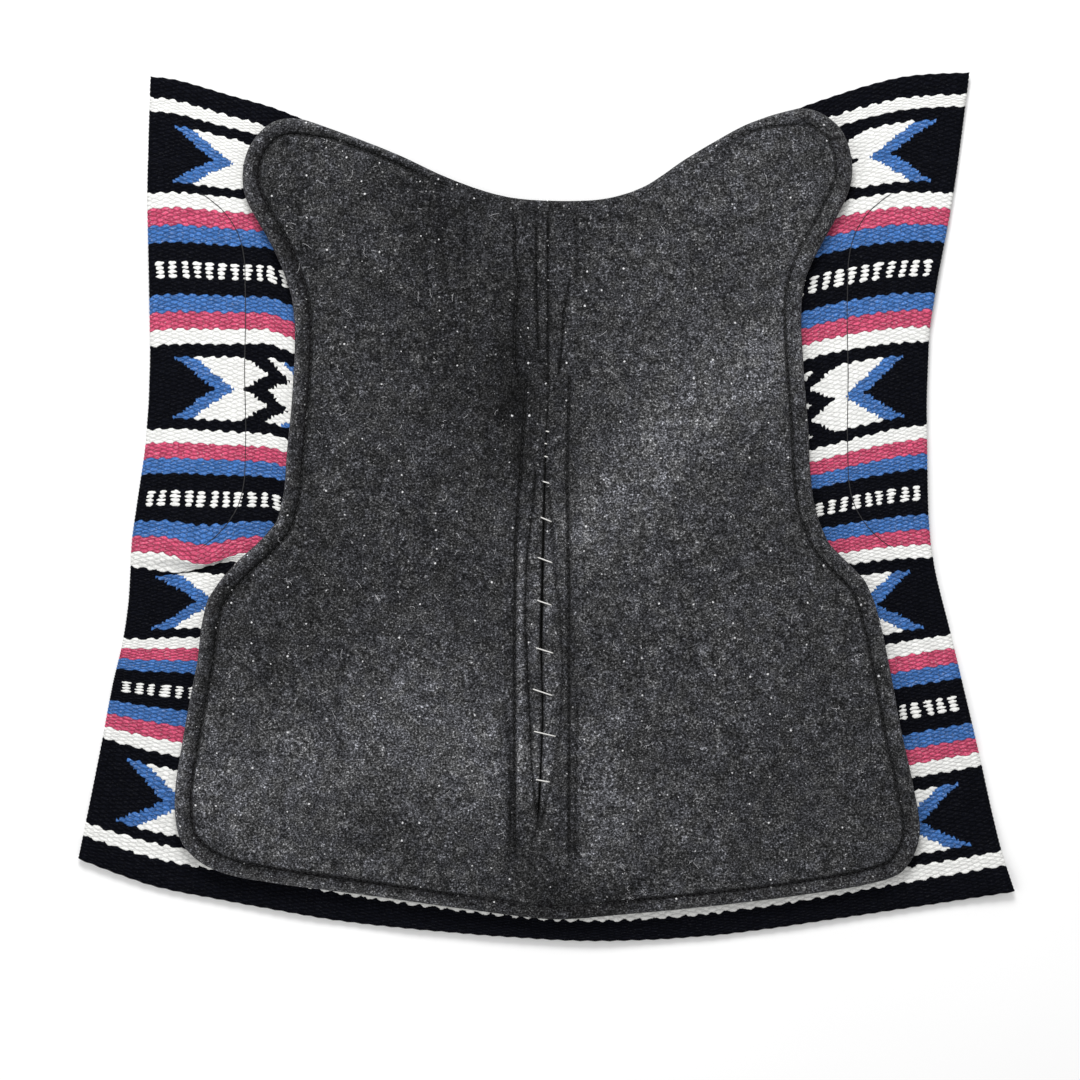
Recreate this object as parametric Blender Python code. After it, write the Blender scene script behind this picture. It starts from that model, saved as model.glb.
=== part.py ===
"""Contoured western saddle pad, lying open on a flat surface with its felt side up.

+X is to the pad's side, +Y towards the withers (front) and +Z up. The origin is the middle
of the plan box, on the surface the pad lies on. The woven blanket and the leathers of the
saddle side are below, the wool felt that lies on the horse is on top. The two flaps fold up
along the two edges of the spine gusset.
"""

import math

import bmesh
import bpy

# Layers, from the surface up (metres)
GAP = 0.0003
LEATHER_T = 0.0025
BLANKET_T = 0.006
LINER_TOP = 0.0246
GUSSET_T = 0.009
GUSSET_TOP = 0.0215
BLANKET_Z = LEATHER_T + GAP
FELT_Z = BLANKET_Z + BLANKET_T + GAP

# Core pad: its thickness, and how far it stays inside the felt's edge and the fold
CORE_T = 0.006
CORE_INSET = 0.022
CORE_FOLD_INSET = 0.010

# Spine
SPINE_X = -0.003
SPINE_HALF = 0.0265
FOLD_Z = GUSSET_TOP
BOX_FRONT = 0.120
BOX_REAR = -0.336
SLIT_FRONT = 0.105
SLIT_REAR = -0.305
SLIT_HALF = 0.0035
SLIT_SIDES = 32

# Stitching: a row beside a fold stays SEAM_INSET from it, clear of the felt that turns there
RIM_INSET = 0.017
GROOVE_HALF = 0.0015
GROOVE_DEPTH = 0.003
THREAD_R = 0.0008
FINE_THREAD_R = 0.0005
THREAD_BEVEL_STEPS = 2
SEAM_INSET = 0.0045

# The withers dart: its stitching runs straight back from the front, then closes to a point
DART_FRONT = 0.288
DART_WAIST = 0.165
DART_POINT = BOX_FRONT + 0.006

# Hand lacing across the slit: the front stitch's place, the pitch and each stitch's half width
LACE_FIRST_Y = 0.024
LACE_PITCH = 0.041
LACE_HALVES = (0.0035, 0.006, 0.008, 0.0075, 0.009, 0.010, 0.0115, 0.007)
LACE_SLANT = math.tan(math.radians(17))
LACE_HOLE_R = 0.002
LACE_HOLE_SIDES = 8
LACE_HOLE_MARGIN = 0.0012
LACE_BEND = 0.0006
LACE_UNDER_Z = 0.0107

# Plan of the front edge, which the blanket and the felt share, from left to right
FRONT = (
    (-0.233, 0.375), (-0.183, 0.357), (-0.136, 0.338), (-0.107, 0.324), (-0.069, 0.309),
    (-0.036, 0.300), (-0.002, 0.297), (0.042, 0.297), (0.068, 0.301), (0.098, 0.312),
    (0.131, 0.335), (0.168, 0.357), (0.194, 0.371), (0.238, 0.385),
)
# Plan of the felt: the sides run from front to rear, the rear edge from right to left
FELT_LEFT = (
    (-0.252, 0.377), (-0.271, 0.370), (-0.289, 0.348), (-0.295, 0.322), (-0.291, 0.297),
    (-0.267, 0.255), (-0.247, 0.204), (-0.244, 0.150), (-0.252, 0.050), (-0.261, -0.014),
    (-0.298, -0.051), (-0.329, -0.090), (-0.338, -0.147), (-0.359, -0.263),
    (-0.360, -0.300), (-0.353, -0.327), (-0.330, -0.348), (-0.293, -0.360),
)
FELT_RIGHT = (
    (0.255, 0.386), (0.271, 0.379), (0.288, 0.363), (0.297, 0.328), (0.291, 0.300),
    (0.269, 0.259), (0.250, 0.219), (0.247, 0.170), (0.254, 0.076), (0.258, 0.010),
    (0.274, -0.036), (0.309, -0.071), (0.325, -0.118), (0.343, -0.213), (0.361, -0.298),
    (0.361, -0.325), (0.345, -0.354), (0.318, -0.364),
)
FELT_REAR = ((0.283, -0.371), (0.168, -0.386), (0.063, -0.396), (0.008, -0.400),
             (-0.047, -0.394), (-0.183, -0.375))
# Plan of the blanket, whose four corners are sharp
BLANKET_FRONT_LEFT = ((-0.233, 0.375), (-0.268, 0.389), (-0.307, 0.400), (-0.346, 0.412),
                      (-0.365, 0.417), (-0.385, 0.419))
BLANKET_LEFT = ((-0.385, 0.419), (-0.388, 0.298), (-0.385, 0.152), (-0.390, 0.055),
                (-0.403, -0.030), (-0.406, -0.090), (-0.413, -0.137), (-0.421, -0.168),
                (-0.432, -0.226), (-0.455, -0.342))
BLANKET_REAR = ((-0.455, -0.342), (-0.385, -0.368), (-0.326, -0.380), (-0.267, -0.391),
                (-0.210, -0.401), (-0.123, -0.411), (0.008, -0.421), (0.063, -0.422),
                (0.168, -0.416), (0.283, -0.400), (0.455, -0.374))
BLANKET_RIGHT = ((0.455, -0.374), (0.441, -0.330), (0.424, -0.254), (0.404, -0.169),
                 (0.390, -0.110), (0.382, -0.080), (0.373, -0.035), (0.370, 0.035),
                 (0.372, 0.172), (0.389, 0.268), (0.399, 0.327), (0.411, 0.422))
BLANKET_FRONT_RIGHT = ((0.411, 0.422), (0.372, 0.421), (0.343, 0.418), (0.314, 0.411),
                       (0.294, 0.405), (0.238, 0.385))

# Wear leather: the line of its stitching, for the side of positive x, from front to rear
WEAR_LINE = ((0.377, 0.330), (0.360, 0.325), (0.340, 0.308), (0.316, 0.290), (0.300, 0.267),
             (0.293, 0.237), (0.293, 0.130), (0.293, 0.028), (0.300, -0.001),
             (0.317, -0.025), (0.340, -0.042), (0.365, -0.048))
WEAR_EDGE_INSET = 0.010
WEAR_EDGE_SPANS = 8
WEAR_BORDER = 0.004
# Withers leather: how far its wings reach from the fold at the front edge, left and right,
# how far back their side runs, and the middle of their rear edge (share of the reach, y)
WING_REACH = {-1: 0.072, 1: 0.042}
WING_EDGE_INSET = 0.006
WING_SIDE = 0.030
WING_REAR = (0.55, 0.190)
WITHERS_STRIP_FRONT = 0.290

# Where the pad's side edges and front edge begin: beyond this x, and beyond this y
FLANK_X = 0.2
WITHERS_Y = 0.2
# How far a cutter runs past the faces it opens, and the distance that welds two points
CUT_MARGIN = 0.004
WELD = 1e-6

FELT_GREY = (0.055, 0.055, 0.060)
WOOL_BLACK = (0.010, 0.011, 0.016)
CORE_GREY = (0.420, 0.410, 0.390)
LEATHER_BROWN = (0.090, 0.042, 0.022)
THREAD_BLACK = (0.015, 0.015, 0.017)
THREAD_WHITE = (0.760, 0.750, 0.720)


# ---------------------------------------------------------------- plan geometry
def smooth(points, steps=2):
    """A centripetal Catmull-Rom curve through the points, with steps spans between each two."""
    first = (2 * points[0][0] - points[1][0], 2 * points[0][1] - points[1][1])
    last = (2 * points[-1][0] - points[-2][0], 2 * points[-1][1] - points[-2][1])
    line = [first, *points, last]
    made = []
    for four in zip(line, line[1:], line[2:], line[3:]):
        knots = [0.0]
        for a, b in zip(four, four[1:]):
            knots.append(knots[-1] + math.dist(a, b) ** 0.5)
        for step in range(steps):
            t = knots[1] + (knots[2] - knots[1]) * step / steps
            one = [mix(four[j], four[j + 1], knots[j], knots[j + 1], t) for j in range(3)]
            two = [mix(one[j], one[j + 1], knots[j], knots[j + 2], t) for j in range(2)]
            made.append(mix(*two, knots[1], knots[2], t))
    made.append(tuple(points[-1]))
    return made


def mix(a, b, start, end, t):
    share = (t - start) / (end - start)
    return (a[0] + (b[0] - a[0]) * share, a[1] + (b[1] - a[1]) * share)


def outline(*runs):
    """One closed counter-clockwise outline from smooth runs that meet at their ends."""
    made = []
    for run in runs:
        made += smooth(run)[:-1]
    return made if area(made) > 0 else made[::-1]


def area(points):
    following = points[1:] + points[:1]
    return sum(a[0] * b[1] - b[0] * a[1] for a, b in zip(points, following)) / 2


def inset(points, distance):
    """The closed outline moved inwards by a distance."""
    made = []
    for before, here, after in zip(points[-1:] + points[:-1], points, points[1:] + points[:1]):
        dx, dy = after[0] - before[0], after[1] - before[1]
        length = math.hypot(dx, dy)
        made.append((here[0] - dy / length * distance, here[1] + dx / length * distance))
    return made


def beyond(points, side, limit):
    """The part of a closed outline with side * x over side * limit, closed along that line."""
    made = []
    for a, b in zip(points, points[1:] + points[:1]):
        inside = side * (a[0] - limit) > 0
        if inside:
            made.append(a)
        if inside != (side * (b[0] - limit) > 0):
            made.append(mix(a, b, a[0], b[0], limit))
    return made


def run_beyond(points, side, limit):
    """The same part as an open line, from one crossing of the limit to the other."""
    part = beyond(points, side, limit)
    on_limit = [i for i, p in enumerate(part) if abs(p[0] - limit) < WELD]
    start = on_limit[1] if on_limit[1] - on_limit[0] == 1 else on_limit[0]
    return part[start:] + part[:start]


def fold_x(side):
    return SPINE_X + side * SPINE_HALF


# ---------------------------------------------------------------- Blender helpers
def clear_scene():
    for obj in list(bpy.data.objects):
        bpy.data.objects.remove(obj)


def collection(name):
    made = bpy.data.collections.new(name)
    bpy.context.scene.collection.children.link(made)
    return made


def material(name, colour, roughness):
    made = bpy.data.materials.new(name)
    made.use_nodes = True
    shader = made.node_tree.nodes["Principled BSDF"]
    shader.inputs["Base Color"].default_value = (*colour, 1)
    shader.inputs["Roughness"].default_value = roughness
    shader.inputs["Metallic"].default_value = 0
    return made


def curve_object(name, dimensions, points, cyclic):
    data = bpy.data.curves.new(name, "CURVE")
    data.dimensions = dimensions
    line = data.splines.new("POLY")
    line.points.add(len(points) - 1)
    for point, place in zip(line.points, points):
        point.co = (*place, 1)
    line.use_cyclic_u = cyclic
    return bpy.data.objects.new(name, data)


def slab(name, points, low, high):
    """A flat piece with this outline between two heights."""
    obj = curve_object(name, "2D", [(x, y, 0) for x, y in points], True)
    obj.data.fill_mode = "BOTH"
    obj.data.extrude = (high - low) / 2
    obj.location.z = (low + high) / 2
    return obj


def tube(name, points, radius, cyclic=False):
    obj = curve_object(name, "3D", points, cyclic)
    obj.data.bevel_depth = radius
    obj.data.bevel_resolution = THREAD_BEVEL_STEPS
    obj.data.use_fill_caps = not cyclic
    return obj


def as_mesh(obj, group):
    """The curve object as a welded closed mesh of the same name, in its collection."""
    group.objects.link(obj)
    bpy.context.view_layer.update()
    graph = bpy.context.evaluated_depsgraph_get()
    mesh = bpy.data.meshes.new_from_object(obj.evaluated_get(graph))
    welded = bmesh.new()
    welded.from_mesh(mesh)
    bmesh.ops.remove_doubles(welded, verts=welded.verts, dist=WELD)
    bmesh.ops.recalc_face_normals(welded, faces=welded.faces)
    welded.to_mesh(mesh)
    welded.free()
    name, place = obj.name, obj.matrix_world.copy()
    bpy.data.objects.remove(obj)
    made = bpy.data.objects.new(name, mesh)
    made.matrix_world = place
    group.objects.link(made)
    return made


def cut(obj, cutter):
    cutter.hide_render = True
    cutter.display_type = "WIRE"
    modifier = obj.modifiers.new(cutter.name, "BOOLEAN")
    modifier.operation = "DIFFERENCE"
    modifier.object = cutter


# ---------------------------------------------------------------- pieces of one flap
def blanket_piece(name, points):
    return slab(name, points, BLANKET_Z, BLANKET_Z + BLANKET_T)


def liner(name, felt, side, cutters):
    """Thick felt with a pocket below for the core and a groove above for the rim stitching."""
    edge = fold_x(side) + side * GAP
    body = slab(name, beyond(felt, side, edge), FELT_Z, LINER_TOP)
    body = as_mesh(body, bpy.data.collections["saddle_pad"])
    wall = edge + side * (CORE_FOLD_INSET - GAP)
    room = beyond(inset(felt, CORE_INSET - GAP), side, wall)
    pocket = slab(f"{name}_pocket", room, FELT_Z - CUT_MARGIN, FELT_Z + CORE_T + GAP)
    cut(body, as_mesh(pocket, cutters))
    start = edge - side * CUT_MARGIN
    outer = run_beyond(inset(felt, RIM_INSET - GROOVE_HALF), side, start)
    inner = run_beyond(inset(felt, RIM_INSET + GROOVE_HALF), side, start)
    groove = slab(f"{name}_groove", outer + inner[::-1], LINER_TOP - GROOVE_DEPTH,
                  LINER_TOP + CUT_MARGIN)
    cut(body, as_mesh(groove, cutters))
    return body


def core(name, felt, side):
    edge = fold_x(side) + side * (GAP + CORE_FOLD_INSET)
    return slab(name, beyond(inset(felt, CORE_INSET), side, edge), FELT_Z, FELT_Z + CORE_T)


def rim_stitch(name, felt, side):
    line = run_beyond(inset(felt, RIM_INSET), side, fold_x(side) + side * SEAM_INSET)
    height = LINER_TOP - GROOVE_DEPTH + GAP + THREAD_R
    return tube(name, [(x, y, height) for x, y in line], THREAD_R)


def edge_at(blanket, side, y):
    """How far from the middle the blanket's side edge is at this y."""
    found = []
    for a, b in zip(blanket, blanket[1:] + blanket[:1]):
        if (a[1] - y) * (b[1] - y) <= 0 and a[1] != b[1] and side * a[0] > FLANK_X:
            found.append(side * mix(a, b, a[1], b[1], y)[0])
    return max(found)


def wear_line(blanket, side):
    """The stitching of the wear leather, which ends at the blanket's side edge."""
    line = [(side * x, y) for x, y in smooth(WEAR_LINE)]
    front, rear = line[0], line[-1]
    limit = WEAR_EDGE_INSET
    line[0] = (side * (edge_at(blanket, side, front[1]) - limit), front[1])
    line[-1] = (side * (edge_at(blanket, side, rear[1]) - limit), rear[1])
    kept = [p for p in line[1:-1] if side * p[0] < min(side * line[0][0], side * line[-1][0])]
    return [line[0], *kept, line[-1]]


def wear_leather(name, blanket, side):
    line = wear_line(blanket, side)
    rear, length = line[-1][1], line[0][1] - line[-1][1]
    edge = []
    for k in range(1, WEAR_EDGE_SPANS):
        y = rear + length * k / WEAR_EDGE_SPANS
        edge.append((side * (edge_at(blanket, side, y) - WEAR_EDGE_INSET), y))
    points = line + edge
    points = points if area(points) > 0 else points[::-1]
    return slab(name, inset(points, -WEAR_BORDER), 0, LEATHER_T)


def wear_stitch(name, blanket, side):
    height = BLANKET_Z + BLANKET_T + GAP + FINE_THREAD_R
    line = [(x, y, height) for x, y in wear_line(blanket, side)]
    return tube(name, line, FINE_THREAD_R)


def withers_wing(name, blanket, side):
    """The wing of the withers leather on this flap, which narrows to the fold rearwards."""
    fold = fold_x(side) + side * GAP
    limit = fold + side * WING_REACH[side]
    front = [p for p in beyond(inset(blanket, WING_EDGE_INSET), side, fold)
             if p[1] > WITHERS_Y and side * (p[0] - limit) < 0]
    front.sort(key=lambda p: side * p[0])
    tip = (fold, BOX_FRONT)
    corner = (limit, front[-1][1] - WING_SIDE)
    share, y = WING_REAR
    rear = smooth([corner, (fold + (limit - fold) * share, y), tip], 3)
    points = front + rear
    points = points if area(points) > 0 else points[::-1]
    return slab(name, points, 0, LEATHER_T)


# ---------------------------------------------------------------- pieces of the spine
def gusset(name, felt, cutters):
    """The felt strip between the flaps, with its slit and the holes for the lacing."""
    points = beyond(beyond(felt, 1, fold_x(-1)), -1, fold_x(1))
    body = slab(name, points, GUSSET_TOP - GUSSET_T, GUSSET_TOP)
    body = as_mesh(body, bpy.data.collections["saddle_pad"])
    middle, half = (SLIT_FRONT + SLIT_REAR) / 2, (SLIT_FRONT - SLIT_REAR) / 2
    turns = [math.tau * k / SLIT_SIDES for k in range(SLIT_SIDES)]
    lens = [
        (SPINE_X + SLIT_HALF * math.sin(a), middle - half * math.cos(a)) for a in turns
    ]
    lens = lens if area(lens) > 0 else lens[::-1]
    low, high = GUSSET_TOP - GUSSET_T - CUT_MARGIN, GUSSET_TOP + CUT_MARGIN
    cut(body, as_mesh(slab("spine_slit", lens, low, high), cutters))
    for number, ends in enumerate(lace_ends()):
        for letter, (x, y) in zip("ab", ends):
            bpy.ops.mesh.primitive_cylinder_add(
                vertices=LACE_HOLE_SIDES, radius=LACE_HOLE_R, depth=high - low,
                location=(x, y, (low + high) / 2))
            hole = bpy.context.object
            hole.name = f"lace_hole_{number}_{letter}"
            for owner in list(hole.users_collection):
                owner.objects.unlink(hole)
            cutters.objects.link(hole)
            cut(body, hole)
    return body


def lace_ends():
    """Where each stitch of the lacing enters and leaves the felt, left end first."""
    for number, half in enumerate(LACE_HALVES):
        reach = max(half, SLIT_HALF + LACE_HOLE_R + LACE_HOLE_MARGIN)
        y = LACE_FIRST_Y - number * LACE_PITCH
        drop = reach * LACE_SLANT
        yield (SPINE_X - reach, y + drop), (SPINE_X + reach, y - drop)


def spine_lace(name):
    """One white lace: over the slit, down through the felt and on below to the next hole."""
    top = GUSSET_TOP + GAP + THREAD_R
    line = []
    for (left, left_y), (right, right_y) in lace_ends():
        line += [
            (left, left_y, LACE_UNDER_Z), (left, left_y, top - LACE_BEND),
            (left + LACE_BEND, left_y, top), (right - LACE_BEND, right_y, top),
            (right, right_y, top - LACE_BEND), (right, right_y, LACE_UNDER_Z),
        ]
    return tube(name, line, THREAD_R)


def box_stitch(name):
    """The sewn rectangle round the slit."""
    left, right = fold_x(-1) + SEAM_INSET, fold_x(1) - SEAM_INSET
    height = GUSSET_TOP + GAP + THREAD_R
    corners = ((left, BOX_FRONT), (left, BOX_REAR), (right, BOX_REAR), (right, BOX_FRONT))
    return tube(name, [(x, y, height) for x, y in corners], THREAD_R, cyclic=True)


def withers_stitch(name):
    """The dart's stitching in front of the rectangle, open towards the front edge."""
    left, right = fold_x(-1) + SEAM_INSET, fold_x(1) - SEAM_INSET
    height = GUSSET_TOP + GAP + THREAD_R
    corners = ((left, DART_FRONT), (left, DART_WAIST), (SPINE_X, DART_POINT),
               (right, DART_WAIST), (right, DART_FRONT))
    return tube(name, [(x, y, height) for x, y in corners], THREAD_R)


def strip_leather(name, points, rear, front):
    """A leather strip on the saddle side of the spine, between two y values."""
    band = [(y, -x) for x, y in points]
    band = beyond(beyond(band, 1, rear), -1, front)
    return slab(name, [(-y, x) for x, y in band], 0, LEATHER_T)


# ---------------------------------------------------------------- the pad
def place(obj, group, finish, parent=None):
    """Gives the piece its material and links it, under its joint's empty if it moves."""
    obj.data.materials.append(finish)
    if obj.name not in group.objects:
        group.objects.link(obj)
    if parent:
        obj.parent = parent
        obj.matrix_parent_inverse = parent.matrix_world.inverted()


def fold_axis(name, side, group):
    """An empty on the line the flap folds about."""
    axis = bpy.data.objects.new(name, None)
    axis.location = (fold_x(side), 0, FOLD_Z)
    group.objects.link(axis)
    return axis


def build():
    clear_scene()
    pad, cutters = collection("saddle_pad"), collection("cutters")
    felt_grey = material("felt", FELT_GREY, 0.95)
    wool = material("woven_wool", WOOL_BLACK, 0.9)
    core_grey = material("core", CORE_GREY, 0.9)
    leather = material("leather", LEATHER_BROWN, 0.55)
    thread = material("black_thread", THREAD_BLACK, 0.7)
    white = material("white_lace", THREAD_WHITE, 0.7)
    felt = outline([*FRONT, *FELT_RIGHT, *FELT_REAR, *FELT_LEFT[::-1], FRONT[0]])
    blanket = outline(FRONT, BLANKET_FRONT_RIGHT[::-1], BLANKET_RIGHT[::-1],
                      BLANKET_REAR[::-1], BLANKET_LEFT[::-1], BLANKET_FRONT_LEFT[::-1])
    for word, side in (("left", -1), ("right", 1)):
        axis = fold_axis(f"{word}_fold_axis", side, pad)
        bpy.context.view_layer.update()
        edge = fold_x(side) + side * GAP
        woven = blanket_piece(f"woven_blanket_{word}", beyond(blanket, side, edge))
        place(woven, pad, wool, axis)
        place(core(f"core_{word}", felt, side), pad, core_grey, axis)
        place(liner(f"felt_liner_{word}", felt, side, cutters), pad, felt_grey, axis)
        place(rim_stitch(f"rim_stitch_{word}", felt, side), pad, thread, axis)
        place(wear_leather(f"wear_leather_{word}", blanket, side), pad, leather, axis)
        place(wear_stitch(f"wear_stitch_{word}", blanket, side), pad, thread, axis)
        place(withers_wing(f"withers_leather_{word}", blanket, side), pad, leather, axis)
    band = beyond(beyond(blanket, 1, fold_x(-1)), -1, fold_x(1))
    place(blanket_piece("blanket_spine_band", band), pad, wool)
    place(gusset("felt_spine_gusset", felt, cutters), pad, felt_grey)
    place(spine_lace("spine_lace"), pad, white)
    place(box_stitch("box_stitch"), pad, thread)
    place(withers_stitch("withers_stitch"), pad, thread)
    withers = strip_leather("withers_leather_middle", band, BOX_FRONT + GAP, WITHERS_STRIP_FRONT)
    place(withers, pad, leather)
    place(strip_leather("spine_leather", band, BOX_REAR, BOX_FRONT), pad, leather)


build()
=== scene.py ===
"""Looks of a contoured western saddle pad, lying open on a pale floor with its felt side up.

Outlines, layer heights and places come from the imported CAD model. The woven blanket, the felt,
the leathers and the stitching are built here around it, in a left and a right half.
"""

import math

import bpy
import numpy as np
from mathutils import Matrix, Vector
from mathutils.bvhtree import BVHTree
from mathutils.geometry import delaunay_2d_cdt


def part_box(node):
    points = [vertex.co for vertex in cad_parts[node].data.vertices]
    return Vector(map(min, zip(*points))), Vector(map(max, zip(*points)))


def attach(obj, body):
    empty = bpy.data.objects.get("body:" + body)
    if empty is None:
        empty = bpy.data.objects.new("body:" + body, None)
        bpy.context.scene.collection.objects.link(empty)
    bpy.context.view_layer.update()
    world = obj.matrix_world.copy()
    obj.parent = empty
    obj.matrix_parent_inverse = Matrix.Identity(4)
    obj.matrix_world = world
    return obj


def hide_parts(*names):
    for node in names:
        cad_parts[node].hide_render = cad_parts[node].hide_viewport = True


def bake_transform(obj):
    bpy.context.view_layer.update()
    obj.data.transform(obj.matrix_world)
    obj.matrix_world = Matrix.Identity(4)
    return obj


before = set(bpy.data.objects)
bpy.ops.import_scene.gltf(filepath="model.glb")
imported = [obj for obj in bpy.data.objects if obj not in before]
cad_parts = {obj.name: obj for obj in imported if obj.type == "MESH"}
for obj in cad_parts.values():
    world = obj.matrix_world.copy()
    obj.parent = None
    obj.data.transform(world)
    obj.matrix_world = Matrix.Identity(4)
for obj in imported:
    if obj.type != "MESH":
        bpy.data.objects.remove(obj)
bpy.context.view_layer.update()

SIDES = {"left": -1, "right": 1}
MM = 0.001

# ---------------------------------------------------------------- places from the frame
FLAP_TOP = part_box("felt_liner_left")[1].z
FELT_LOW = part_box("felt_liner_left")[0].z
BLANKET_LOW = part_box("woven_blanket_left")[0].z
BLANKET_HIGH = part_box("woven_blanket_left")[1].z
LEATHER_LOW, LEATHER_HIGH = (corner.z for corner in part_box("wear_leather_left"))
FOLD_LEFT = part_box("felt_spine_gusset")[0].x
FOLD_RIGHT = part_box("felt_spine_gusset")[1].x
SPINE_X = (FOLD_LEFT + FOLD_RIGHT) / 2
SPINE_HALF = (FOLD_RIGHT - FOLD_LEFT) / 2

# ---------------------------------------------------------------- the weave
WARPS = 64
PICKS = 409
BAND_PICKS = 40
REPEAT_PICKS = 110
FIRST_BAND = 18
FRONT_BORDER = 10
REAR_BORDER = 394.5
# The picks at which the stripes turn, and their y at the selvedges and at INNER_X
KEY_PICKS = (0, 10, 18, 58, 128, 168, 238, 278, 325, 348, 388, 395, PICKS)
INNER_X = 0.27
KEY_Y = {
    "left": (
        (0.419, 0.398, 0.385, 0.307, 0.164, 0.086, -0.045, -0.1155, -0.177, -0.216, -0.303, -0.316,
         -0.340),
        (0.383, 0.362, 0.352, 0.291, 0.153, 0.0665, -0.059, -0.128, -0.209, -0.260, -0.346, -0.362,
         -0.390),
    ),
    "right": (
        (0.423, 0.401, 0.390, 0.306, 0.165, 0.086, -0.042, -0.118, -0.205, -0.248, -0.333, -0.347,
         -0.3735),
        (0.394, 0.373, 0.362, 0.290, 0.1455, 0.056, -0.061, -0.149, -0.240, -0.282, -0.366, -0.380,
         -0.402),
    ),
}
# At the spine, how far down the sheet the narrow last border starts
SLIVER_SHARE = 0.9745
BLANKET_T = 5.2 * MM
WEAVE_RELIEF = 0.5 * MM

# How far the sheet eases off beside its leather, sags past the felt, waves, and curls up at its
# corners
EASE = 8 * MM
SAG = 2.3 * MM
ROLLING = 1.1 * MM
CORNER_CURL = 1.6 * MM
CORNER_REACH = 0.075

# ---------------------------------------------------------------- leathers and threads
LEATHER_GROOVE = 3 * MM
WEAR_GROOVE = 4 * MM
WEAR_SHOWN_X = 0.336
LINT_PLACES = 150
LINT_EDGE = 9 * MM
# Stitches: how long each is and how far apart they start, then how far they stand and dive
RIM_STITCH = (4.6 * MM, 6 * MM, 0.15 * MM, 0.9 * MM)
SEAM_STITCH = (4.4 * MM, 6 * MM, 0.1 * MM, 0.9 * MM)
END_STITCH = (4.2 * MM, 6 * MM, 0.1 * MM, 0.9 * MM)
# Below, how long and how far apart, then their height and how far they come out
UNDER_STITCH = (3.2 * MM, 4.4 * MM, LEATHER_LOW + 0.48 * MM, 0.7 * MM)
LINT_R = 0.15 * MM
SEAM_THREAD_R = 0.4 * MM
LEATHER_THREAD_R = 0.42 * MM
RIM_THREAD_R = 0.45 * MM
LACE_R = 0.62 * MM

# ---------------------------------------------------------------- the felt
RIM_ROLL = 7 * MM
RIM_GROOVE = 16.6 * MM
RIM_RINGS = tuple(k * MM for k in (0.5, 1.2, 2.2, 3.6, 5.2, 7.2, 8.8, 10, 11.2, 12.2, 13, 13.8,
                                   14.6, 15.4, 16.1, 16.8, 17.5, 18.3, 19.5, 21.6, 24.5))
FELT_STEP = 3.2 * MM
SPINE_STEP = 1.05 * MM
SEAM_STEP = 6 * MM
# Where along y the strip lies lower and the slit is open: where each begins, is full, starts to
# end and has ended. The stretch with painted highlight on the lips beside the slit is measured
# rearwards.
STRIP_Y = (-0.345, -0.325, 0.115, 0.150)
SLIT_Y = (-0.312, -0.295, 0.095, 0.118)
PAINTED_LIP_LIGHT_Y = (0.03, 0.06, 0.275, 0.305)
RIDGE_RISE = 2.6 * MM
VALLEY_DROP = 2.8 * MM
STRIP_DROP = 1.2 * MM
SEAM_DEPTH = 3.2 * MM
LIP_DEPTH = 1.9 * MM
LIP_SWELL = 1.3 * MM
SLIT_DEPTH = 2.4 * MM
GROOVE_DEPTH = 2.6 * MM
GROOVE_SHOULDER = 1.5 * MM
# The raw edge's section is a superellipse of this power, above a wall this share as high
EDGE_POWER = 2.4
WALL_SHARE = 0.30
TONE_RANGE = (0.06, 2.6)
# The painted shadow in the open slit
SLIT_SHADOW_TONE = 0.01
BOX_LEFT = ((-0.0199, 0.120), (-0.0218, 0.083), (-0.0238, 0.053), (-0.0257, 0.024),
            (-0.0281, -0.006), (-0.0296, -0.030), (-0.0310, -0.119), (-0.0306, -0.335))
BOX_RIGHT = ((0.0223, 0.125), (0.0209, 0.079), (0.0199, 0.024), (0.0218, -0.090),
             (0.0218, -0.335))
SLIT = ((0.0020, 0.112), (-0.0005, 0.061), (-0.0019, 0.019), (-0.0053, -0.129),
        (-0.0034, -0.202), (-0.0063, -0.273), (-0.0082, -0.299))
# The middle line that the halves share, from front to rear
MIDDLE = ((0.0025, 0.320), (0.0015, 0.271), (0.0010, 0.180), (0.0020, 0.112), *SLIT[1:],
          (-0.0080, -0.330), (-0.0070, -0.420))
# How wide the slit gapes: y and width
GAPE = ((-0.300, 0.0), (-0.290, 1.8 * MM), (-0.270, 1.1 * MM), (-0.235, 0.6 * MM),
        (-0.160, 0.6 * MM), (-0.118, 2.3 * MM), (-0.070, 2.0 * MM), (-0.010, 1.4 * MM),
        (0.020, 0.8 * MM), (0.060, 0.4 * MM), (0.112, 0.0))
LIP_LEFT = ((-0.0102, 0.036), (-0.0150, -0.015), (-0.0194, -0.051), (-0.0209, -0.110),
            (-0.0186, -0.160), (-0.0163, -0.200), (-0.0150, -0.245), (-0.0112, -0.284),
            (-0.0082, -0.306))
LIP_RIGHT = ((0.0024, 0.017), (0.0053, -0.022), (0.0092, -0.071), (0.0141, -0.119),
             (0.0160, -0.168), (0.0131, -0.221), (0.0063, -0.260), (-0.0005, -0.284),
             (-0.0073, -0.311))
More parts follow.
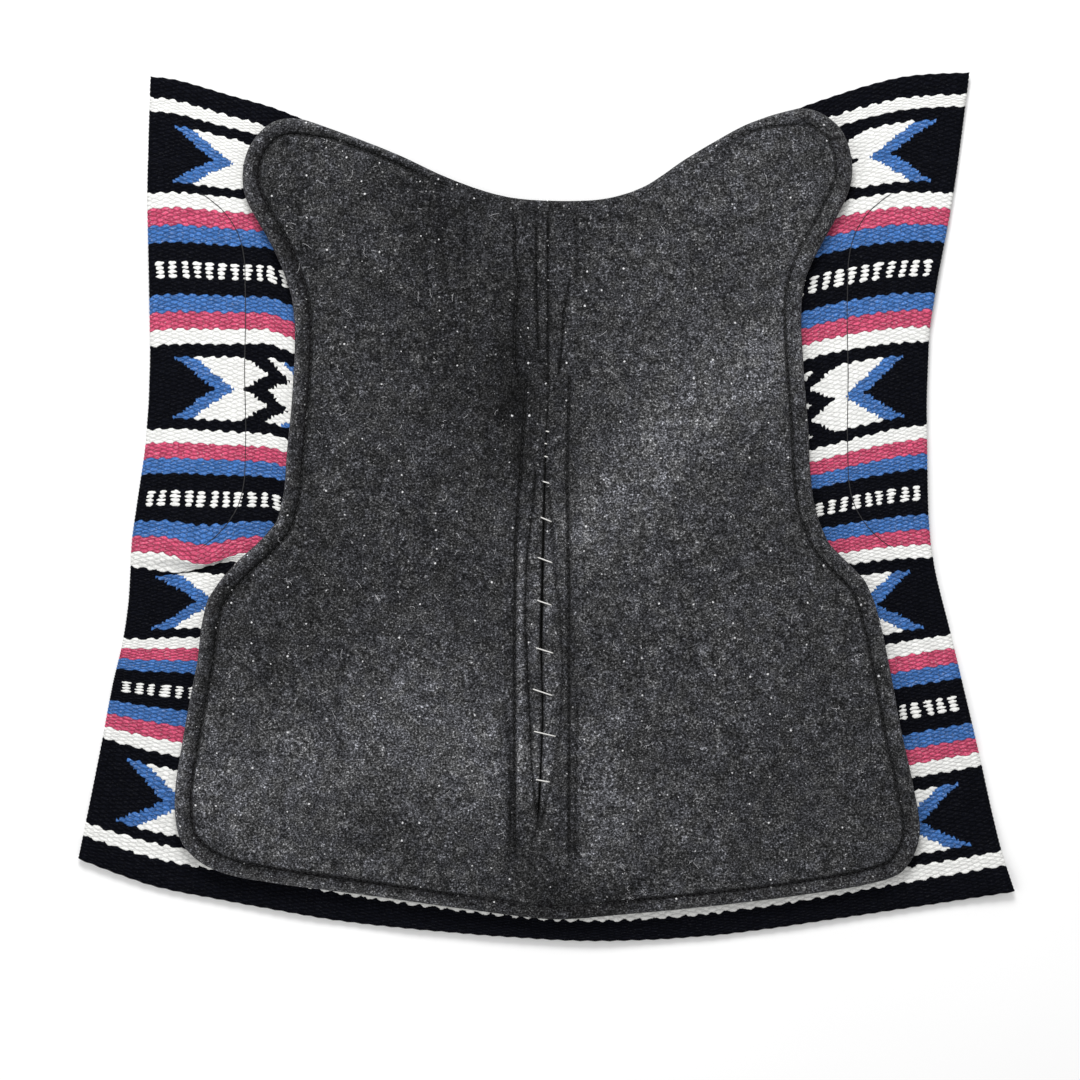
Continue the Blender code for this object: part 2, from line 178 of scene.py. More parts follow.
# Pressed creases at the withers: the line, its depth and its half width
CREASES = (
    (((-0.0306, 0.282), (-0.0315, 0.240), (-0.0257, 0.218), (-0.0296, 0.199),
      (-0.0315, 0.143), (-0.0275, 0.128)), 2.4 * MM, 2.4 * MM),
    (((-0.0102, 0.280), (-0.0100, 0.220), (-0.0082, 0.152)), 1.9 * MM, 2.0 * MM),
    (((0.0282, 0.278), (0.0296, 0.232), (0.0296, 0.218)), 1.7 * MM, 1.8 * MM),
    (((0.0218, 0.218), (0.0209, 0.203), (0.0160, 0.191), (0.0160, 0.172),
      (0.0120, 0.128)), 1.9 * MM, 2.0 * MM),
    (((0.0015, 0.285), (0.0010, 0.180), (0.0015, 0.118)), 1.9 * MM, 2.2 * MM),
    (((-0.104, 0.296), (-0.100, 0.245), (-0.096, 0.205)), 1.0 * MM, 2.6 * MM),
    (((-0.078, 0.290), (-0.079, 0.240), (-0.074, 0.200)), 0.9 * MM, 2.2 * MM),
    (((-0.055, 0.285), (-0.056, 0.235)), 0.7 * MM, 2.4 * MM),
    (((0.0635, 0.283), (0.0640, 0.238)), 0.9 * MM, 2.2 * MM),
    (((-0.040, -0.190), (-0.034, -0.260), (-0.036, -0.342)), 1.4 * MM, 3.0 * MM),
    (((0.030, -0.190), (0.028, -0.270), (0.028, -0.342)), 1.2 * MM, 2.6 * MM),
)
# Where the felt is painted paler or darker: painted light and painted shade that follow its relief,
# with some wear; the line, the amount and its half width
PAINTED_LIGHT_AND_WEAR = (
    (((0.205, 0.145), (0.170, 0.118), (0.100, 0.033), (0.045, -0.018)), 0.95, 0.036),
    (((0.230, 0.170), (0.100, 0.060), (0.020, -0.045)), 0.28, 0.085),
    (((0.052, -0.200), (0.050, -0.330)), 0.85, 0.026),
    (((0.150, -0.190), (0.110, -0.080)), 0.20, 0.070),
    (((-0.310, -0.270), (-0.155, -0.222), (-0.075, -0.255)), 0.98, 0.062),
    (((-0.110, -0.150), (-0.060, -0.230)), 0.45, 0.045),
    (((-0.030, 0.205), (-0.027, 0.030)), -0.42, 0.024),
    (((-0.115, 0.300), (-0.085, 0.201), (-0.060, 0.110)), -0.24, 0.045),
    (((-0.070, 0.290), (0.055, 0.280)), -0.22, 0.040),
    (((-0.024, -0.170), (-0.026, -0.330)), -0.18, 0.020),
    (((-0.045, -0.385), (0.060, -0.390)), -0.35, 0.030),
    (((0.080, 0.270), (0.250, 0.320)), 0.26, 0.070),
    (((-0.260, -0.345), (-0.060, -0.370)), 0.30, 0.035),
    (((0.110, -0.300), (0.300, -0.330)), 0.12, 0.060),
)
VALLEY = ((-0.115, 0.300), (-0.092, 0.201), (-0.052, 0.133), (-0.040, 0.055), (-0.045, -0.030))
RIDGE = ((0.227, 0.133), (0.130, 0.030), (0.042, -0.051))
# The hand lacing: both ends of each stitch that crosses the slit
LACING = (
    ((-0.0040, 0.0248), (0.0030, 0.0226)), ((-0.0063, -0.0097), (0.0053, -0.0146)),
    ((-0.0092, -0.0485), (0.0063, -0.0543)), ((-0.0092, -0.0902), (0.0053, -0.0951)),
    ((-0.0112, -0.1358), (0.0073, -0.1416)), ((-0.0141, -0.1756), (0.0063, -0.1824)),
    ((-0.0136, -0.2163), (0.0096, -0.2218)), ((-0.0107, -0.2632), (0.0036, -0.2658)),
)
LACE_KNOTS = ((0.0011, 0.0728), (-0.0010, 0.0611), (-0.0003, 0.0485))


# ---------------------------------------------------------------- plan geometry
def plan_loop(node):
    """The outline of a flat CAD piece, counter-clockwise, from the lower edges of its walls."""
    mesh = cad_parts[node].data
    low = min(v.co.z for v in mesh.vertices)
    following = {}
    for face in mesh.polygons:
        if abs(face.normal.z) > 0.5:
            continue
        ring = [mesh.vertices[i].co for i in face.vertices]
        for a, b in zip(ring, ring[1:] + ring[:1]):
            if max(a.z, b.z) < low + 0.1 * MM:
                following[round(a.x, 5), round(a.y, 5)] = (round(b.x, 5), round(b.y, 5))
    loops = []
    while following:
        start, here = following.popitem()
        loop = [start]
        while here != start:
            loop.append(here)
            here = following.pop(here)
        loops.append(np.array(loop))
    widest = max(loops, key=lambda loop: abs(area(loop)))
    return widest if area(widest) > 0 else widest[::-1]


def area(loop):
    x, y = loop.T
    return float(np.sum(x * np.roll(y, -1) - y * np.roll(x, -1)) / 2)


def whole_loop(flap, strip):
    """One outline, counter-clockwise, from the left flap, the spine strip and the right flap."""
    runs = {}
    for word, side in SIDES.items():
        loop = plan_loop(f"{flap}_{word}")
        inside = side * (loop[:, 0] - SPINE_X) > SPINE_HALF + 1 * MM
        first = next(i for i in range(len(loop)) if inside[i] and not inside[i - 1])
        loop, inside = np.roll(loop, -first, axis=0), np.roll(inside, -first)
        runs[word] = loop[inside]
    middle = plan_loop(strip)
    inside = abs(middle[:, 0] - SPINE_X) < SPINE_HALF - 1 * MM
    middle = middle[inside]
    rear = middle[middle[:, 1] < 0]
    front = middle[middle[:, 1] > 0]
    rear, front = rear[np.argsort(rear[:, 0])], front[np.argsort(-front[:, 0])]
    return np.vstack([runs["left"], rear, runs["right"], front])


def resample(line, step, soften=0.0, closed=False):
    """The line with points a step apart, rounded over a distance of soften."""
    line = np.asarray(line, float)
    if closed:
        line = np.vstack([line, line[:1]])
    fine = 0.5 * MM
    along = np.concatenate([[0], np.cumsum(np.hypot(*np.diff(line, axis=0)[:, :2].T))])
    count = max(2, int(along[-1] / fine))
    places = np.linspace(0, along[-1], count + 1)
    dense = np.column_stack([np.interp(places, along, column) for column in line.T])
    if soften:
        reach = int(3 * soften / fine)
        weights = np.exp(-0.5 * (np.arange(-reach, reach + 1) * fine / soften) ** 2)
        weights /= weights.sum()
        if closed:
            padded = np.vstack([dense[-reach - 1:-1], dense, dense[1:reach + 1]])
        else:
            padded = np.vstack([2 * dense[0] - dense[reach:0:-1], dense,
                                2 * dense[-1] - dense[-2:-reach - 2:-1]])
        dense = np.column_stack([np.convolve(c, weights, "valid") for c in padded.T])
    spans = max(2, int(round(along[-1] / step)))
    picked = np.linspace(0, len(dense) - 1, spans + 1)
    made = np.column_stack([np.interp(picked, np.arange(len(dense)), c) for c in dense.T])
    return made[:-1] if closed else made


def distance(points, line):
    """How far each point is from a line of points."""
    line = np.asarray(line, float)
    best = np.full(len(points), np.inf)
    for a, b in zip(line[:-1], line[1:]):
        run = b - a
        share = np.clip(((points - a) @ run) / (run @ run), 0, 1)
        gap = points - a - share[:, None] * run
        np.minimum(best, np.hypot(gap[:, 0], gap[:, 1]), out=best)
    return best


def within(points, loop):
    """Whether each point is inside a closed outline."""
    inside = np.zeros(len(points), bool)
    x, y = points.T
    for (ax, ay), (bx, by) in zip(loop, np.roll(loop, -1, axis=0)):
        if ay == by:
            continue
        crosses = (ay > y) != (by > y)
        inside ^= crosses & (x < (bx - ax) * (y - ay) / (by - ay) + ax)
    return inside


def inset(loop, depth):
    """A closed outline moved inwards, without the points that come too near to it."""
    tangent = np.roll(loop, -1, axis=0) - np.roll(loop, 1, axis=0)
    tangent /= np.hypot(*tangent.T)[:, None]
    moved = loop + depth * np.column_stack([-tangent[:, 1], tangent[:, 0]])
    return moved[distance(moved, np.vstack([loop, loop[:1]])) > 0.97 * abs(depth)]


def waves(points, size, seed, count=18):
    """A smooth random relief with features about this size, mostly between -1 and 1."""
    rng = np.random.default_rng(seed)
    angles = rng.uniform(0, math.tau, count)
    rates = math.tau / (size * rng.uniform(1.3, 3.2, count))
    phases = rng.uniform(0, math.tau, count)
    total = np.zeros(len(points))
    for angle, rate, phase in zip(angles, rates, phases):
        along = points[:, 0] * math.cos(angle) + points[:, 1] * math.sin(angle)
        total += np.sin(rate * along + phase)
    return total / math.sqrt(count)


def bell(distances, width):
    return np.exp(-(distances / width) ** 2)


def ramp(values, low, high):
    share = np.clip((values - low) / (high - low), 0, 1)
    return share * share * (3 - 2 * share)


def stretch(values, rise, top, end, fall):
    """1 between top and end, and 0 before rise and after fall."""
    return ramp(values, rise, top) * (1 - ramp(values, end, fall))


def seam_gap(points, line, soften=8 * MM):
    """How far each point is from a softened line of points."""
    return distance(points, resample(line, SEAM_STEP, soften))


def opened(loop):
    """A loop of points cut open at its widest gap."""
    gaps = np.hypot(*(loop - np.roll(loop, 1, axis=0)).T)
    return np.roll(loop, -int(np.argmax(gaps)), axis=0)


def by_y(line, y):
    """The x of a front-to-rear line at each y."""
    line = np.array(sorted(line, key=lambda p: p[1]))
    return np.interp(y, line[:, 1], line[:, 0])


# ---------------------------------------------------------------- mesh helpers
def new_mesh(name, vertices, faces, sharp=50):
    mesh = bpy.data.meshes.new(name)
    mesh.from_pydata(np.asarray(vertices).tolist(), [], [list(map(int, f)) for f in faces])
    mesh.validate()
    mesh.shade_smooth()
    mesh.set_sharp_from_angle(angle=math.radians(sharp))
    obj = bpy.data.objects.new(name, mesh)
    bpy.context.scene.collection.objects.link(obj)
    return obj


def give(obj, attribute, values):
    """Stores a number at each of the mesh's points, for its material to read."""
    layer = obj.data.attributes.new(attribute, "FLOAT", "POINT")
    layer.data.foreach_set("value", np.asarray(values, np.float32))


def solid(name, edge, inner, heights, sharp=50):
    """A closed piece over a plan outline. heights gives the top and bottom at plan points."""
    points = np.vstack([edge, inner])
    loop = list(range(len(edge)))
    made = delaunay_2d_cdt([Vector(p) for p in points], [], [loop], 1, 1e-7)
    plan = np.array([tuple(v) for v in made[0]])
    faces = np.array(made[2])
    a, b, c = (plan[faces[:, k]] for k in range(3))
    turn = (b[:, 0] - a[:, 0]) * (c[:, 1] - a[:, 1]) - (b[:, 1] - a[:, 1]) * (c[:, 0] - a[:, 0])
    faces[turn < 0] = faces[turn < 0][:, ::-1]
    used = np.unique(faces)
    number = np.full(len(plan), -1)
    number[used] = np.arange(len(used))
    plan, faces = plan[used], number[faces]
    edges = {(int(f[k]), int(f[(k + 1) % 3])) for f in faces for k in range(3)}
    border = [(p, q) for p, q in edges if (q, p) not in edges]
    top, bottom = heights(plan)
    count = len(plan)
    vertices = np.vstack([np.column_stack([plan, top]), np.column_stack([plan, bottom])])
    walls = [(p, p + count, q + count, q) for p, q in border]
    return new_mesh(name, vertices, [*faces, *(faces[:, ::-1] + count), *walls], sharp)


def tubes(name, paths, radius, sides=6):
    """One mesh of closed round threads, one along each path, thinner at both ends."""
    vertices, faces = [], []
    turns = np.arange(sides) * math.tau / sides
    for path in paths:
        path = np.asarray(path, float)
        tangent = np.gradient(path, axis=0)
        tangent /= np.linalg.norm(tangent, axis=1)[:, None]
        across = np.cross(tangent, (0, 0, 1))
        across /= np.linalg.norm(across, axis=1)[:, None] + 1e-12
        above = np.cross(across, tangent)
        thick = np.full(len(path), radius)
        thick[[0, -1]] *= 0.55
        first = len(vertices)
        for centre, u, v, r in zip(path, across, above, thick):
            vertices += [centre + r * (math.cos(t) * u + math.sin(t) * v) for t in turns]
        for ring in range(len(path) - 1):
            for k in range(sides):
                a = first + ring * sides + k
                b = first + ring * sides + (k + 1) % sides
                faces.append((a, b, b + sides, a + sides))
        last = first + (len(path) - 1) * sides
        faces.append([first + k for k in reversed(range(sides))])
        faces.append([last + k for k in range(sides)])
    return new_mesh(name, vertices, faces, sharp=70)


class Surface:
    """Reads the height of a finished piece from above."""

    def __init__(self, obj):
        mesh = obj.data
        self.tree = BVHTree.FromPolygons([v.co for v in mesh.vertices],
                                         [tuple(p.vertices) for p in mesh.polygons])

    def top(self, x, y):
        hit = self.tree.ray_cast(Vector((x, y, 1)), Vector((0, 0, -1)))[0]
        return hit.z if hit else FLAP_TOP


def stitch_paths(line, surface, length, pitch, lift, dip):
    """The stitches along a plan line: each rises from the surface, runs over it and dives."""
    line = resample(line, pitch)
    paths = []
    for a, b in zip(line[:-1], line[1:]):
        run = (b - a) / np.linalg.norm(b - a)
        path = []
        for share in (0, 0.12, 0.35, 0.65, 0.88, 1):
            x, y = a + run * length * share
            edge = min(share, 1 - share)
            height = lift - dip * (edge == 0) - 0.35 * dip * (0 < edge < 0.2)
            path.append((x, y, surface.top(x, y) + height))
        paths.append(path)
    return paths


def under_paths(line, length, pitch, z, rise):
    """The stitches on the leather side: each comes down out of the leather and goes back."""
    line = resample(line, pitch)
    paths = []
    for a, b in zip(line[:-1], line[1:]):
        run = (b - a) / np.linalg.norm(b - a)
        paths.append([(*(a + run * length * share), z + rise * (share in (0, 1)))
                      for share in (0, 0.2, 0.8, 1)])
    return paths


# ---------------------------------------------------------------- materials
class Shader:
    """A Principled material whose node formulas are written as calls."""

    def __init__(self, name, roughness, specular=0.3, sheen=0.0, sheen_roughness=0.5):
        self.material = bpy.data.materials.new(name)
        self.material.use_nodes = True
        self.tree = self.material.node_tree
        self.shader = self.tree.nodes["Principled BSDF"]
        self.set("Roughness", roughness)
        self.set("Specular IOR Level", specular)
        self.set("Sheen Weight", sheen)
        self.set("Sheen Roughness", sheen_roughness)

    def set(self, socket, value):
        self.shader.inputs[socket].default_value = value

    def link(self, output, socket):
        self.tree.links.new(output, self.shader.inputs[socket])

    def feed(self, node, values):
        for socket, value in values.items():
            if isinstance(value, bpy.types.NodeSocket):
                self.tree.links.new(value, node.inputs[socket])
            else:
                node.inputs[socket].default_value = value

    def node(self, kind, inputs=(), **settings):
        made = self.tree.nodes.new(kind)
        for key, value in settings.items():
            setattr(made, key, value)
        self.feed(made, dict(inputs))
        return made

    def math(self, operation, *values):
        made = self.node("ShaderNodeMath", operation=operation)
        self.feed(made, dict(enumerate(values)))
        return made.outputs[0]

    def times(self, a, b):
        return self.math("MULTIPLY", a, b)

    def plus(self, a, b):
        return self.math("ADD", a, b)

    def minus(self, a, b):
        return self.math("SUBTRACT", a, b)

    def over(self, a, b):
        return self.math("DIVIDE", a, b)

    def line(self, value, slope, start):
        """The value times slope, plus start."""
        return self.math("MULTIPLY_ADD", value, slope, start)

    def cosine(self, value):
        """1 at every even number and -1 at every odd one."""
        return self.math("COSINE", self.times(value, math.pi))

    def parity_sign(self, whole):
        """1 for an even number and -1 for an odd one."""
        return self.line(self.math("FLOORED_MODULO", whole, 2), -2, 1)

    def nearest(self, value, odd):
        """The nearest even number, or the nearest odd one where odd is 1."""
        halves = self.math("ROUND", self.times(self.minus(value, odd), 0.5))
        return self.line(halves, 2, odd)

    def gap(self, a, b):
        return self.math("ABSOLUTE", self.minus(a, b))

    def lots(self, a, b):
        """Two random shares that belong to a pair of whole numbers."""
        pair = self.node("ShaderNodeCombineXYZ", {0: a, 1: b}).outputs[0]
        drawn = self.node("ShaderNodeTexWhiteNoise", {"Vector": pair}, noise_dimensions="2D")
        parts = self.node("ShaderNodeSeparateColor", {"Color": drawn.outputs["Color"]})
        return parts.outputs["Red"], parts.outputs["Green"]

    def attribute(self, name):
        return self.node("ShaderNodeAttribute", attribute_name=name).outputs["Fac"]

    def place(self, scale=(1, 1, 1), turn=0.0):
        """Where a point is, in metres, stretched and turned about the vertical."""
        where = self.node("ShaderNodeTexCoord").outputs["Object"]
        made = self.node("ShaderNodeMapping", {"Vector": where})
        made.inputs["Scale"].default_value = scale
        made.inputs["Rotation"].default_value = (0, 0, turn)
        return made.outputs["Vector"]

    def noise(self, where, scale, detail=2.0, roughness=0.5):
        made = self.node("ShaderNodeTexNoise", {"Vector": where, "Scale": scale,
                                                "Detail": detail, "Roughness": roughness})
        return made.outputs["Fac"]

    def spots(self, where, scale, size, share):
        """1 on round spots of uneven size: their radius in cells, and the share of cells
        with one."""
        cells = self.node("ShaderNodeTexVoronoi", {"Vector": where, "Scale": scale},
                          voronoi_dimensions="2D")
        lot = self.node("ShaderNodeSeparateColor", {"Color": cells.outputs["Color"]})
        grown = self.line(lot.outputs["Green"], 1.1, 0.45)
        away = self.over(cells.outputs["Distance"], grown)
        near = self.span(away, size, size * 0.4)
        chosen = self.math("LESS_THAN", lot.outputs["Red"], share)
        return self.times(near, chosen)

    def span(self, value, low, high, low_out=0.0, high_out=1.0):
        made = self.node("ShaderNodeMapRange", interpolation_type="SMOOTHSTEP")
        self.feed(made, {"Value": value, "From Min": low, "From Max": high,
                         "To Min": low_out, "To Max": high_out})
        return made.outputs["Result"]

    def mix(self, share, a, b):
        made = self.node("ShaderNodeMix", data_type="RGBA")
        self.feed(made, {0: share, 6: a, 7: b})
        return made.outputs[2]

    def shade(self, colour, factor):
        """The colour made lighter or darker by a number."""
        made = self.node("ShaderNodeVectorMath", operation="SCALE")
        self.feed(made, {0: colour, "Scale": factor})
        return made.outputs[0]

    def bump(self, height, depth, strength):
        made = self.node("ShaderNodeBump", {"Height": height, "Distance": depth,
                                            "Strength": strength})
        self.link(made.outputs["Normal"], "Normal")


YARN_WHITE = (0.80, 0.80, 0.78, 1)
YARN_PINK = (0.56, 0.077, 0.155, 1)
YARN_BLUE = (0.050, 0.151, 0.415, 1)
YARN_BLACK = (0.0034, 0.0038, 0.0064, 1)
LIT_FIBRE = (0.72, 0.72, 0.74, 1)
# How far a pick swells over a warp, as a share of the way to its neighbour's middle
FLOAT_SWELL = 0.94
# The stripes of one repeat: the pick where each starts, and its yarn
STRIPES = ((0, YARN_BLACK), (40, YARN_WHITE), (47, YARN_PINK), (55, YARN_BLUE),
           (63, YARN_BLACK), (87, YARN_BLUE), (95, YARN_PINK), (103, YARN_WHITE))
# The rows of dots, and how a dot's half width in warps and half height in picks vary
DOTS = (71.5, 78.5)
DOT_WIDTH = (0.20, 0.56)
DOT_HEIGHT = (0.30, 0.90)
# The motif in a band: the warp that mirrors it, and its half heights in picks
MOTIF_WARP = 34
MOTIF_PICKS = 14.4
CHEVRON_PICKS = 13.75
NOTCH_PICKS = 6.9
# Its steps across the warps: how far each slants, and where it starts
CHEVRON = (6.3, 4.2)
FIELD = (3.8, 15.5)
ZIGZAG = (3.5, 19.2)
SECOND = (6.3, 22.0)
# How many warps wide the blue edge of a chevron is
CHEVRON_WARPS = 3.2
CORE_GREY = (0.42, 0.41, 0.39)

# How strongly the felt's mottle and its fibres vary, as natural logarithms
HEATHER = 4.2
STRAND = 3.6
GRAIN = 7.6


def weave_material():
    """Weft-faced plain weave: each pick swells over every other warp and dives under the next, so
    its edges are waves and its floats are lenses, whose yarn is that of the pick."""
    s = Shader("woven_wool", 0.9, specular=0.03, sheen=0.0)
    drift = s.span(s.noise(s.place(), 60, 2.0), 0.25, 0.75, -0.28, 0.28)
    jitter = s.span(s.noise(s.place((1, 1.6, 1)), 240, 2.0), 0.25, 0.75, -0.30, 0.30)
    u = s.plus(s.attribute("warp"), drift)
    v = s.plus(s.attribute("pick"), jitter)
    below = s.math("FLOOR", v)
    swing = s.times(s.parity_sign(below), s.cosine(u))
    passed = s.math("GREATER_THAN", s.minus(v, below),
                    s.line(swing, 0.5 * FLOAT_SWELL, 0.5))
    pick = s.plus(below, passed)
    odd = s.math("FLOORED_MODULO", pick, 2)
    warp = s.nearest(u, odd)
    along = s.math("ABSOLUTE", s.minus(u, warp))
    half_height = s.line(s.cosine(along), 0.5 * FLOAT_SWELL, 0.5)
    across = s.over(s.math("ABSOLUTE", s.minus(v, pick)), half_height)
    row = s.math("FLOORED_MODULO", s.minus(pick, FIRST_BAND), REPEAT_PICKS)

    share = s.over(s.plus(row, 0.5), REPEAT_PICKS)
    stripes = s.node("ShaderNodeValToRGB", {"Fac": share})
    stripes.color_ramp.interpolation = "CONSTANT"
    while len(stripes.color_ramp.elements) < len(STRIPES):
        stripes.color_ramp.elements.new(1)
    for element, (start, yarn) in zip(stripes.color_ramp.elements, STRIPES):
        element.position = start / REPEAT_PICKS
        element.color = yarn
    colour = stripes.outputs["Color"]

    # Dots: white picks between black ones, each swelling over the even warps only
    dot_pick, dot_warp = s.nearest(v, 0), s.nearest(u, 0)
    dot_row = s.math("FLOORED_MODULO", s.minus(dot_pick, FIRST_BAND), REPEAT_PICKS)
    lots = s.lots(dot_warp, dot_pick)
    wide = s.line(lots[0], *DOT_WIDTH)
    high = s.line(lots[1], *DOT_HEIGHT)
    reach = s.math("POWER", s.over(s.gap(u, dot_warp), wide), 1.2)
    reach = s.plus(reach, s.math("POWER", s.over(s.gap(v, dot_pick), high), 2.0))
    dotted = s.times(s.math("GREATER_THAN", dot_row, DOTS[0]), s.math("LESS_THAN", dot_row, DOTS[1]))
    dotted = s.times(dotted, s.math("LESS_THAN", reach, 1.0))
    dotted = s.times(dotted, s.math("GREATER_THAN", dot_warp, 1.0))
    colour = s.mix(dotted, colour, YARN_WHITE)

    # The motif in each band, mirrored half way between the selvedge and the spine
    place = s.minus(MOTIF_WARP, s.gap(u, MOTIF_WARP))
    up = s.math("ABSOLUTE", s.minus(row, BAND_PICKS / 2))
    inner = s.minus(1, s.over(up, CHEVRON_PICKS))
    notch = s.minus(1, s.gap(s.over(up, NOTCH_PICKS), 1))
    chevron = s.line(inner, *CHEVRON)
    field = s.line(notch, *FIELD)
    zigzag = s.line(notch, *ZIGZAG)
    second = s.line(inner, *SECOND)
    steps = ((chevron, YARN_BLUE), (s.plus(chevron, CHEVRON_WARPS), YARN_WHITE),
             (field, YARN_BLACK), (zigzag, YARN_WHITE), (second, YARN_BLUE),
             (s.plus(second, CHEVRON_WARPS), YARN_BLACK))
    motif = YARN_BLACK
    for start, yarn in steps:
        motif = s.mix(s.math("GREATER_THAN", place, start), motif, yarn)
    tall = s.times(s.math("LESS_THAN", row, BAND_PICKS), s.math("LESS_THAN", up, MOTIF_PICKS))
    colour = s.mix(tall, colour, motif)

    # Borders
    colour = s.mix(s.math("LESS_THAN", pick, FIRST_BAND), colour, YARN_WHITE)
    ends = s.math("MAXIMUM", s.math("LESS_THAN", pick, FRONT_BORDER),
                  s.math("GREATER_THAN", pick, REAR_BORDER))
    colour = s.mix(ends, colour, YARN_BLACK)

    # Painted shade where each float dives, and the spun yarn is uneven along it
    fibres = s.noise(s.place((1, 2.4, 1)), 480, 3.0, 0.7)
    slub = s.lots(warp, pick)[0]
    dark = s.times(s.span(across, 0.35, 1.05, 1.0, 0.46), s.span(along, 0.26, 0.64, 1.0, 0.70))
    uneven = s.times(s.span(fibres, 0.28, 0.72, 0.60, 1.36), s.line(slub, 0.34, 0.85))
    tone = s.times(dark, uneven)
    # White yarn scatters light into its own shadows
    lots = s.node("ShaderNodeSeparateColor", {"Color": colour})
    strength = s.span(lots.outputs["Green"], 0.2, 0.7, 1.0, 0.43)
    tone = s.line(s.minus(tone, 1), strength, 1)
    # Painted highlight: pale glints of lit fibre on the floats, faint on black yarn
    hairs = s.noise(s.place((1, 2, 1)), 620, 1.0)
    glint = s.times(s.span(hairs, 0.55, 0.72, 0, 0.30), s.span(across, 0.2, 0.9, 1.0, 0.0))
    glint = s.times(glint, s.span(lots.outputs["Blue"], 0.01, 0.14, 0.06, 1.0))
    s.link(s.mix(glint, s.shade(colour, tone), LIT_FIBRE), "Base Color")
    dome = s.minus(1, s.times(across, across))
    dome = s.times(dome, s.span(along, 0.20, 0.66, 1.0, 0.35))
    s.bump(s.plus(dome, s.times(fibres, 0.6)), 0.6 * MM, 0.9)
    s.link(s.span(fibres, 0.2, 0.8, 0.82, 0.98), "Roughness")
    return s.material


def felt_material():
    """Charcoal wool felt: a heather of light and dark fibres, with white neps and specks."""
    s = Shader("felt", 0.95, specular=0.03, sheen=0.03, sheen_roughness=0.6)
    here = s.place()
    heather = s.noise(here, 95, 3.0, 0.85)
    grain = s.noise(here, 560, 1.0, 0.8)
    strands = [s.noise(s.place((1, 3.0, 1), turn), 360, 1.0, 0.6) for turn in (0.4, 1.5, 2.5)]
    fibres = s.math("MAXIMUM", s.math("MAXIMUM", *strands[:2]), strands[2])
    amount = s.plus(s.times(s.minus(heather, 0.5), HEATHER),
                    s.times(s.minus(fibres, 0.6), STRAND))
    amount = s.plus(amount, s.times(s.minus(grain, 0.5), GRAIN))
    # The tone attribute brings the felt's painted light and painted shade, with its wear
    tone = s.times(s.math("EXPONENT", amount), s.attribute("tone"))
    clouds = s.noise(here, 60, 2.0, 0.6)
    colour = s.shade(s.mix(s.span(clouds, 0.42, 0.58), (0.0290, 0.0292, 0.0302, 1),
                           (0.0282, 0.0287, 0.0315, 1)), tone)
    jumble = s.node("ShaderNodeTexNoise", {"Vector": here, "Scale": 700.0}).outputs["Color"]
    bent = s.node("ShaderNodeVectorMath", {0: jumble, 1: (0.0016,) * 3, 2: here},
                  operation="MULTIPLY_ADD").outputs[0]
    neps = s.spots(bent, 56, 0.050, 0.27)
    specks = s.spots(bent, 120, 0.090, 0.22)
    pale = s.math("MAXIMUM", s.times(neps, 0.85), s.times(specks, 0.28))
    colour = s.mix(pale, colour, (0.78, 0.78, 0.79, 1))
    s.link(colour, "Base Color")
    relief = s.plus(grain, s.times(fibres, 0.8))
    s.bump(s.plus(relief, s.times(pale, 0.5)), 0.9 * MM, 0.9)
    s.link(s.span(heather, 0.2, 0.8, 0.88, 1.0), "Roughness")
    return s.material


def core_material():
    """Pale needled felt of the inner pad."""
    s = Shader("core_pad", 0.95, specular=0.15, sheen=0.1)
    here = s.place()
    fibres = s.noise(here, 500, 3.0, 0.65)
    dimples = s.spots(here, 240, 0.30, 1.0)
    # Painted shade in the needle dimples
    tone = s.times(s.span(fibres, 0.3, 0.7, 0.8, 1.15), s.minus(1, s.times(dimples, 0.3)))
    s.link(s.shade(CORE_GREY, tone), "Base Color")
    s.bump(s.minus(fibres, dimples), 0.6 * MM, 0.7)
    return s.material


def leather_material():
    """Oiled brown leather: fine pebbled grain, darker burnished edges and paler rubbed patches."""
    s = Shader("leather", 0.5, specular=0.45)
    s.set("Coat Weight", 0.08)
    s.set("Coat Roughness", 0.35)
    here = s.place()
    pebbles = s.node("ShaderNodeTexVoronoi", {"Vector": here, "Scale": 900.0},
                     feature="SMOOTH_F1").outputs["Distance"]
    pores = s.noise(here, 1500, 2.0, 0.6)
    patches = s.noise(here, 22, 3.0, 0.6)
    edge = s.attribute("edge")
    colour = s.mix(s.span(patches, 0.35, 0.7), (0.078, 0.034, 0.017, 1), (0.135, 0.062, 0.030, 1))
    colour = s.mix(edge, colour, (0.022, 0.011, 0.007, 1))
    s.link(s.shade(colour, s.span(pebbles, 0.1, 0.8, 1.08, 0.82)), "Base Color")
    relief = s.plus(s.times(pores, 0.4), s.minus(1, pebbles))
    s.bump(relief, 0.25 * MM, 0.6)
    s.link(s.span(patches, 0.3, 0.7, 0.42, 0.6), "Roughness")
    return s.material


def thread_material(name, colour, roughness, scale=900):
    """Twisted thread: slanting plies and small stray fibres."""
    s = Shader(name, roughness, specular=0.35, sheen=0.15)
    plies = s.node("ShaderNodeTexWave", {"Vector": s.place((1, 0.6, 1), 0.7), "Scale": scale,
                                         "Distortion": 1.5}).outputs["Fac"]
    fuzz = s.noise(s.place(), 1800, 2.0)
    tone = s.times(s.span(plies, 0.0, 1.0, 0.72, 1.08), s.span(fuzz, 0.3, 0.7, 0.85, 1.1))
    s.link(s.shade(colour, tone), "Base Color")
    s.bump(s.plus(plies, fuzz), 0.2 * MM, 0.6)
    return s.material


# ---------------------------------------------------------------- the outlines
felt_edge = resample(whole_loop("felt_liner", "felt_spine_gusset"), FELT_STEP, 4 * MM, True)
felt_line = np.vstack([felt_edge, felt_edge[:1]])
blanket_loop = whole_loop("woven_blanket", "blanket_spine_band")
middle_line = resample(MIDDLE, FELT_STEP, 9 * MM)


def middle_x(y):
    return by_y(middle_line, y)


def gape(y):
    """Half the width of the open slit at each y."""
    places = np.array(GAPE)
    return np.interp(y, places[:, 0], places[:, 1]) / 2


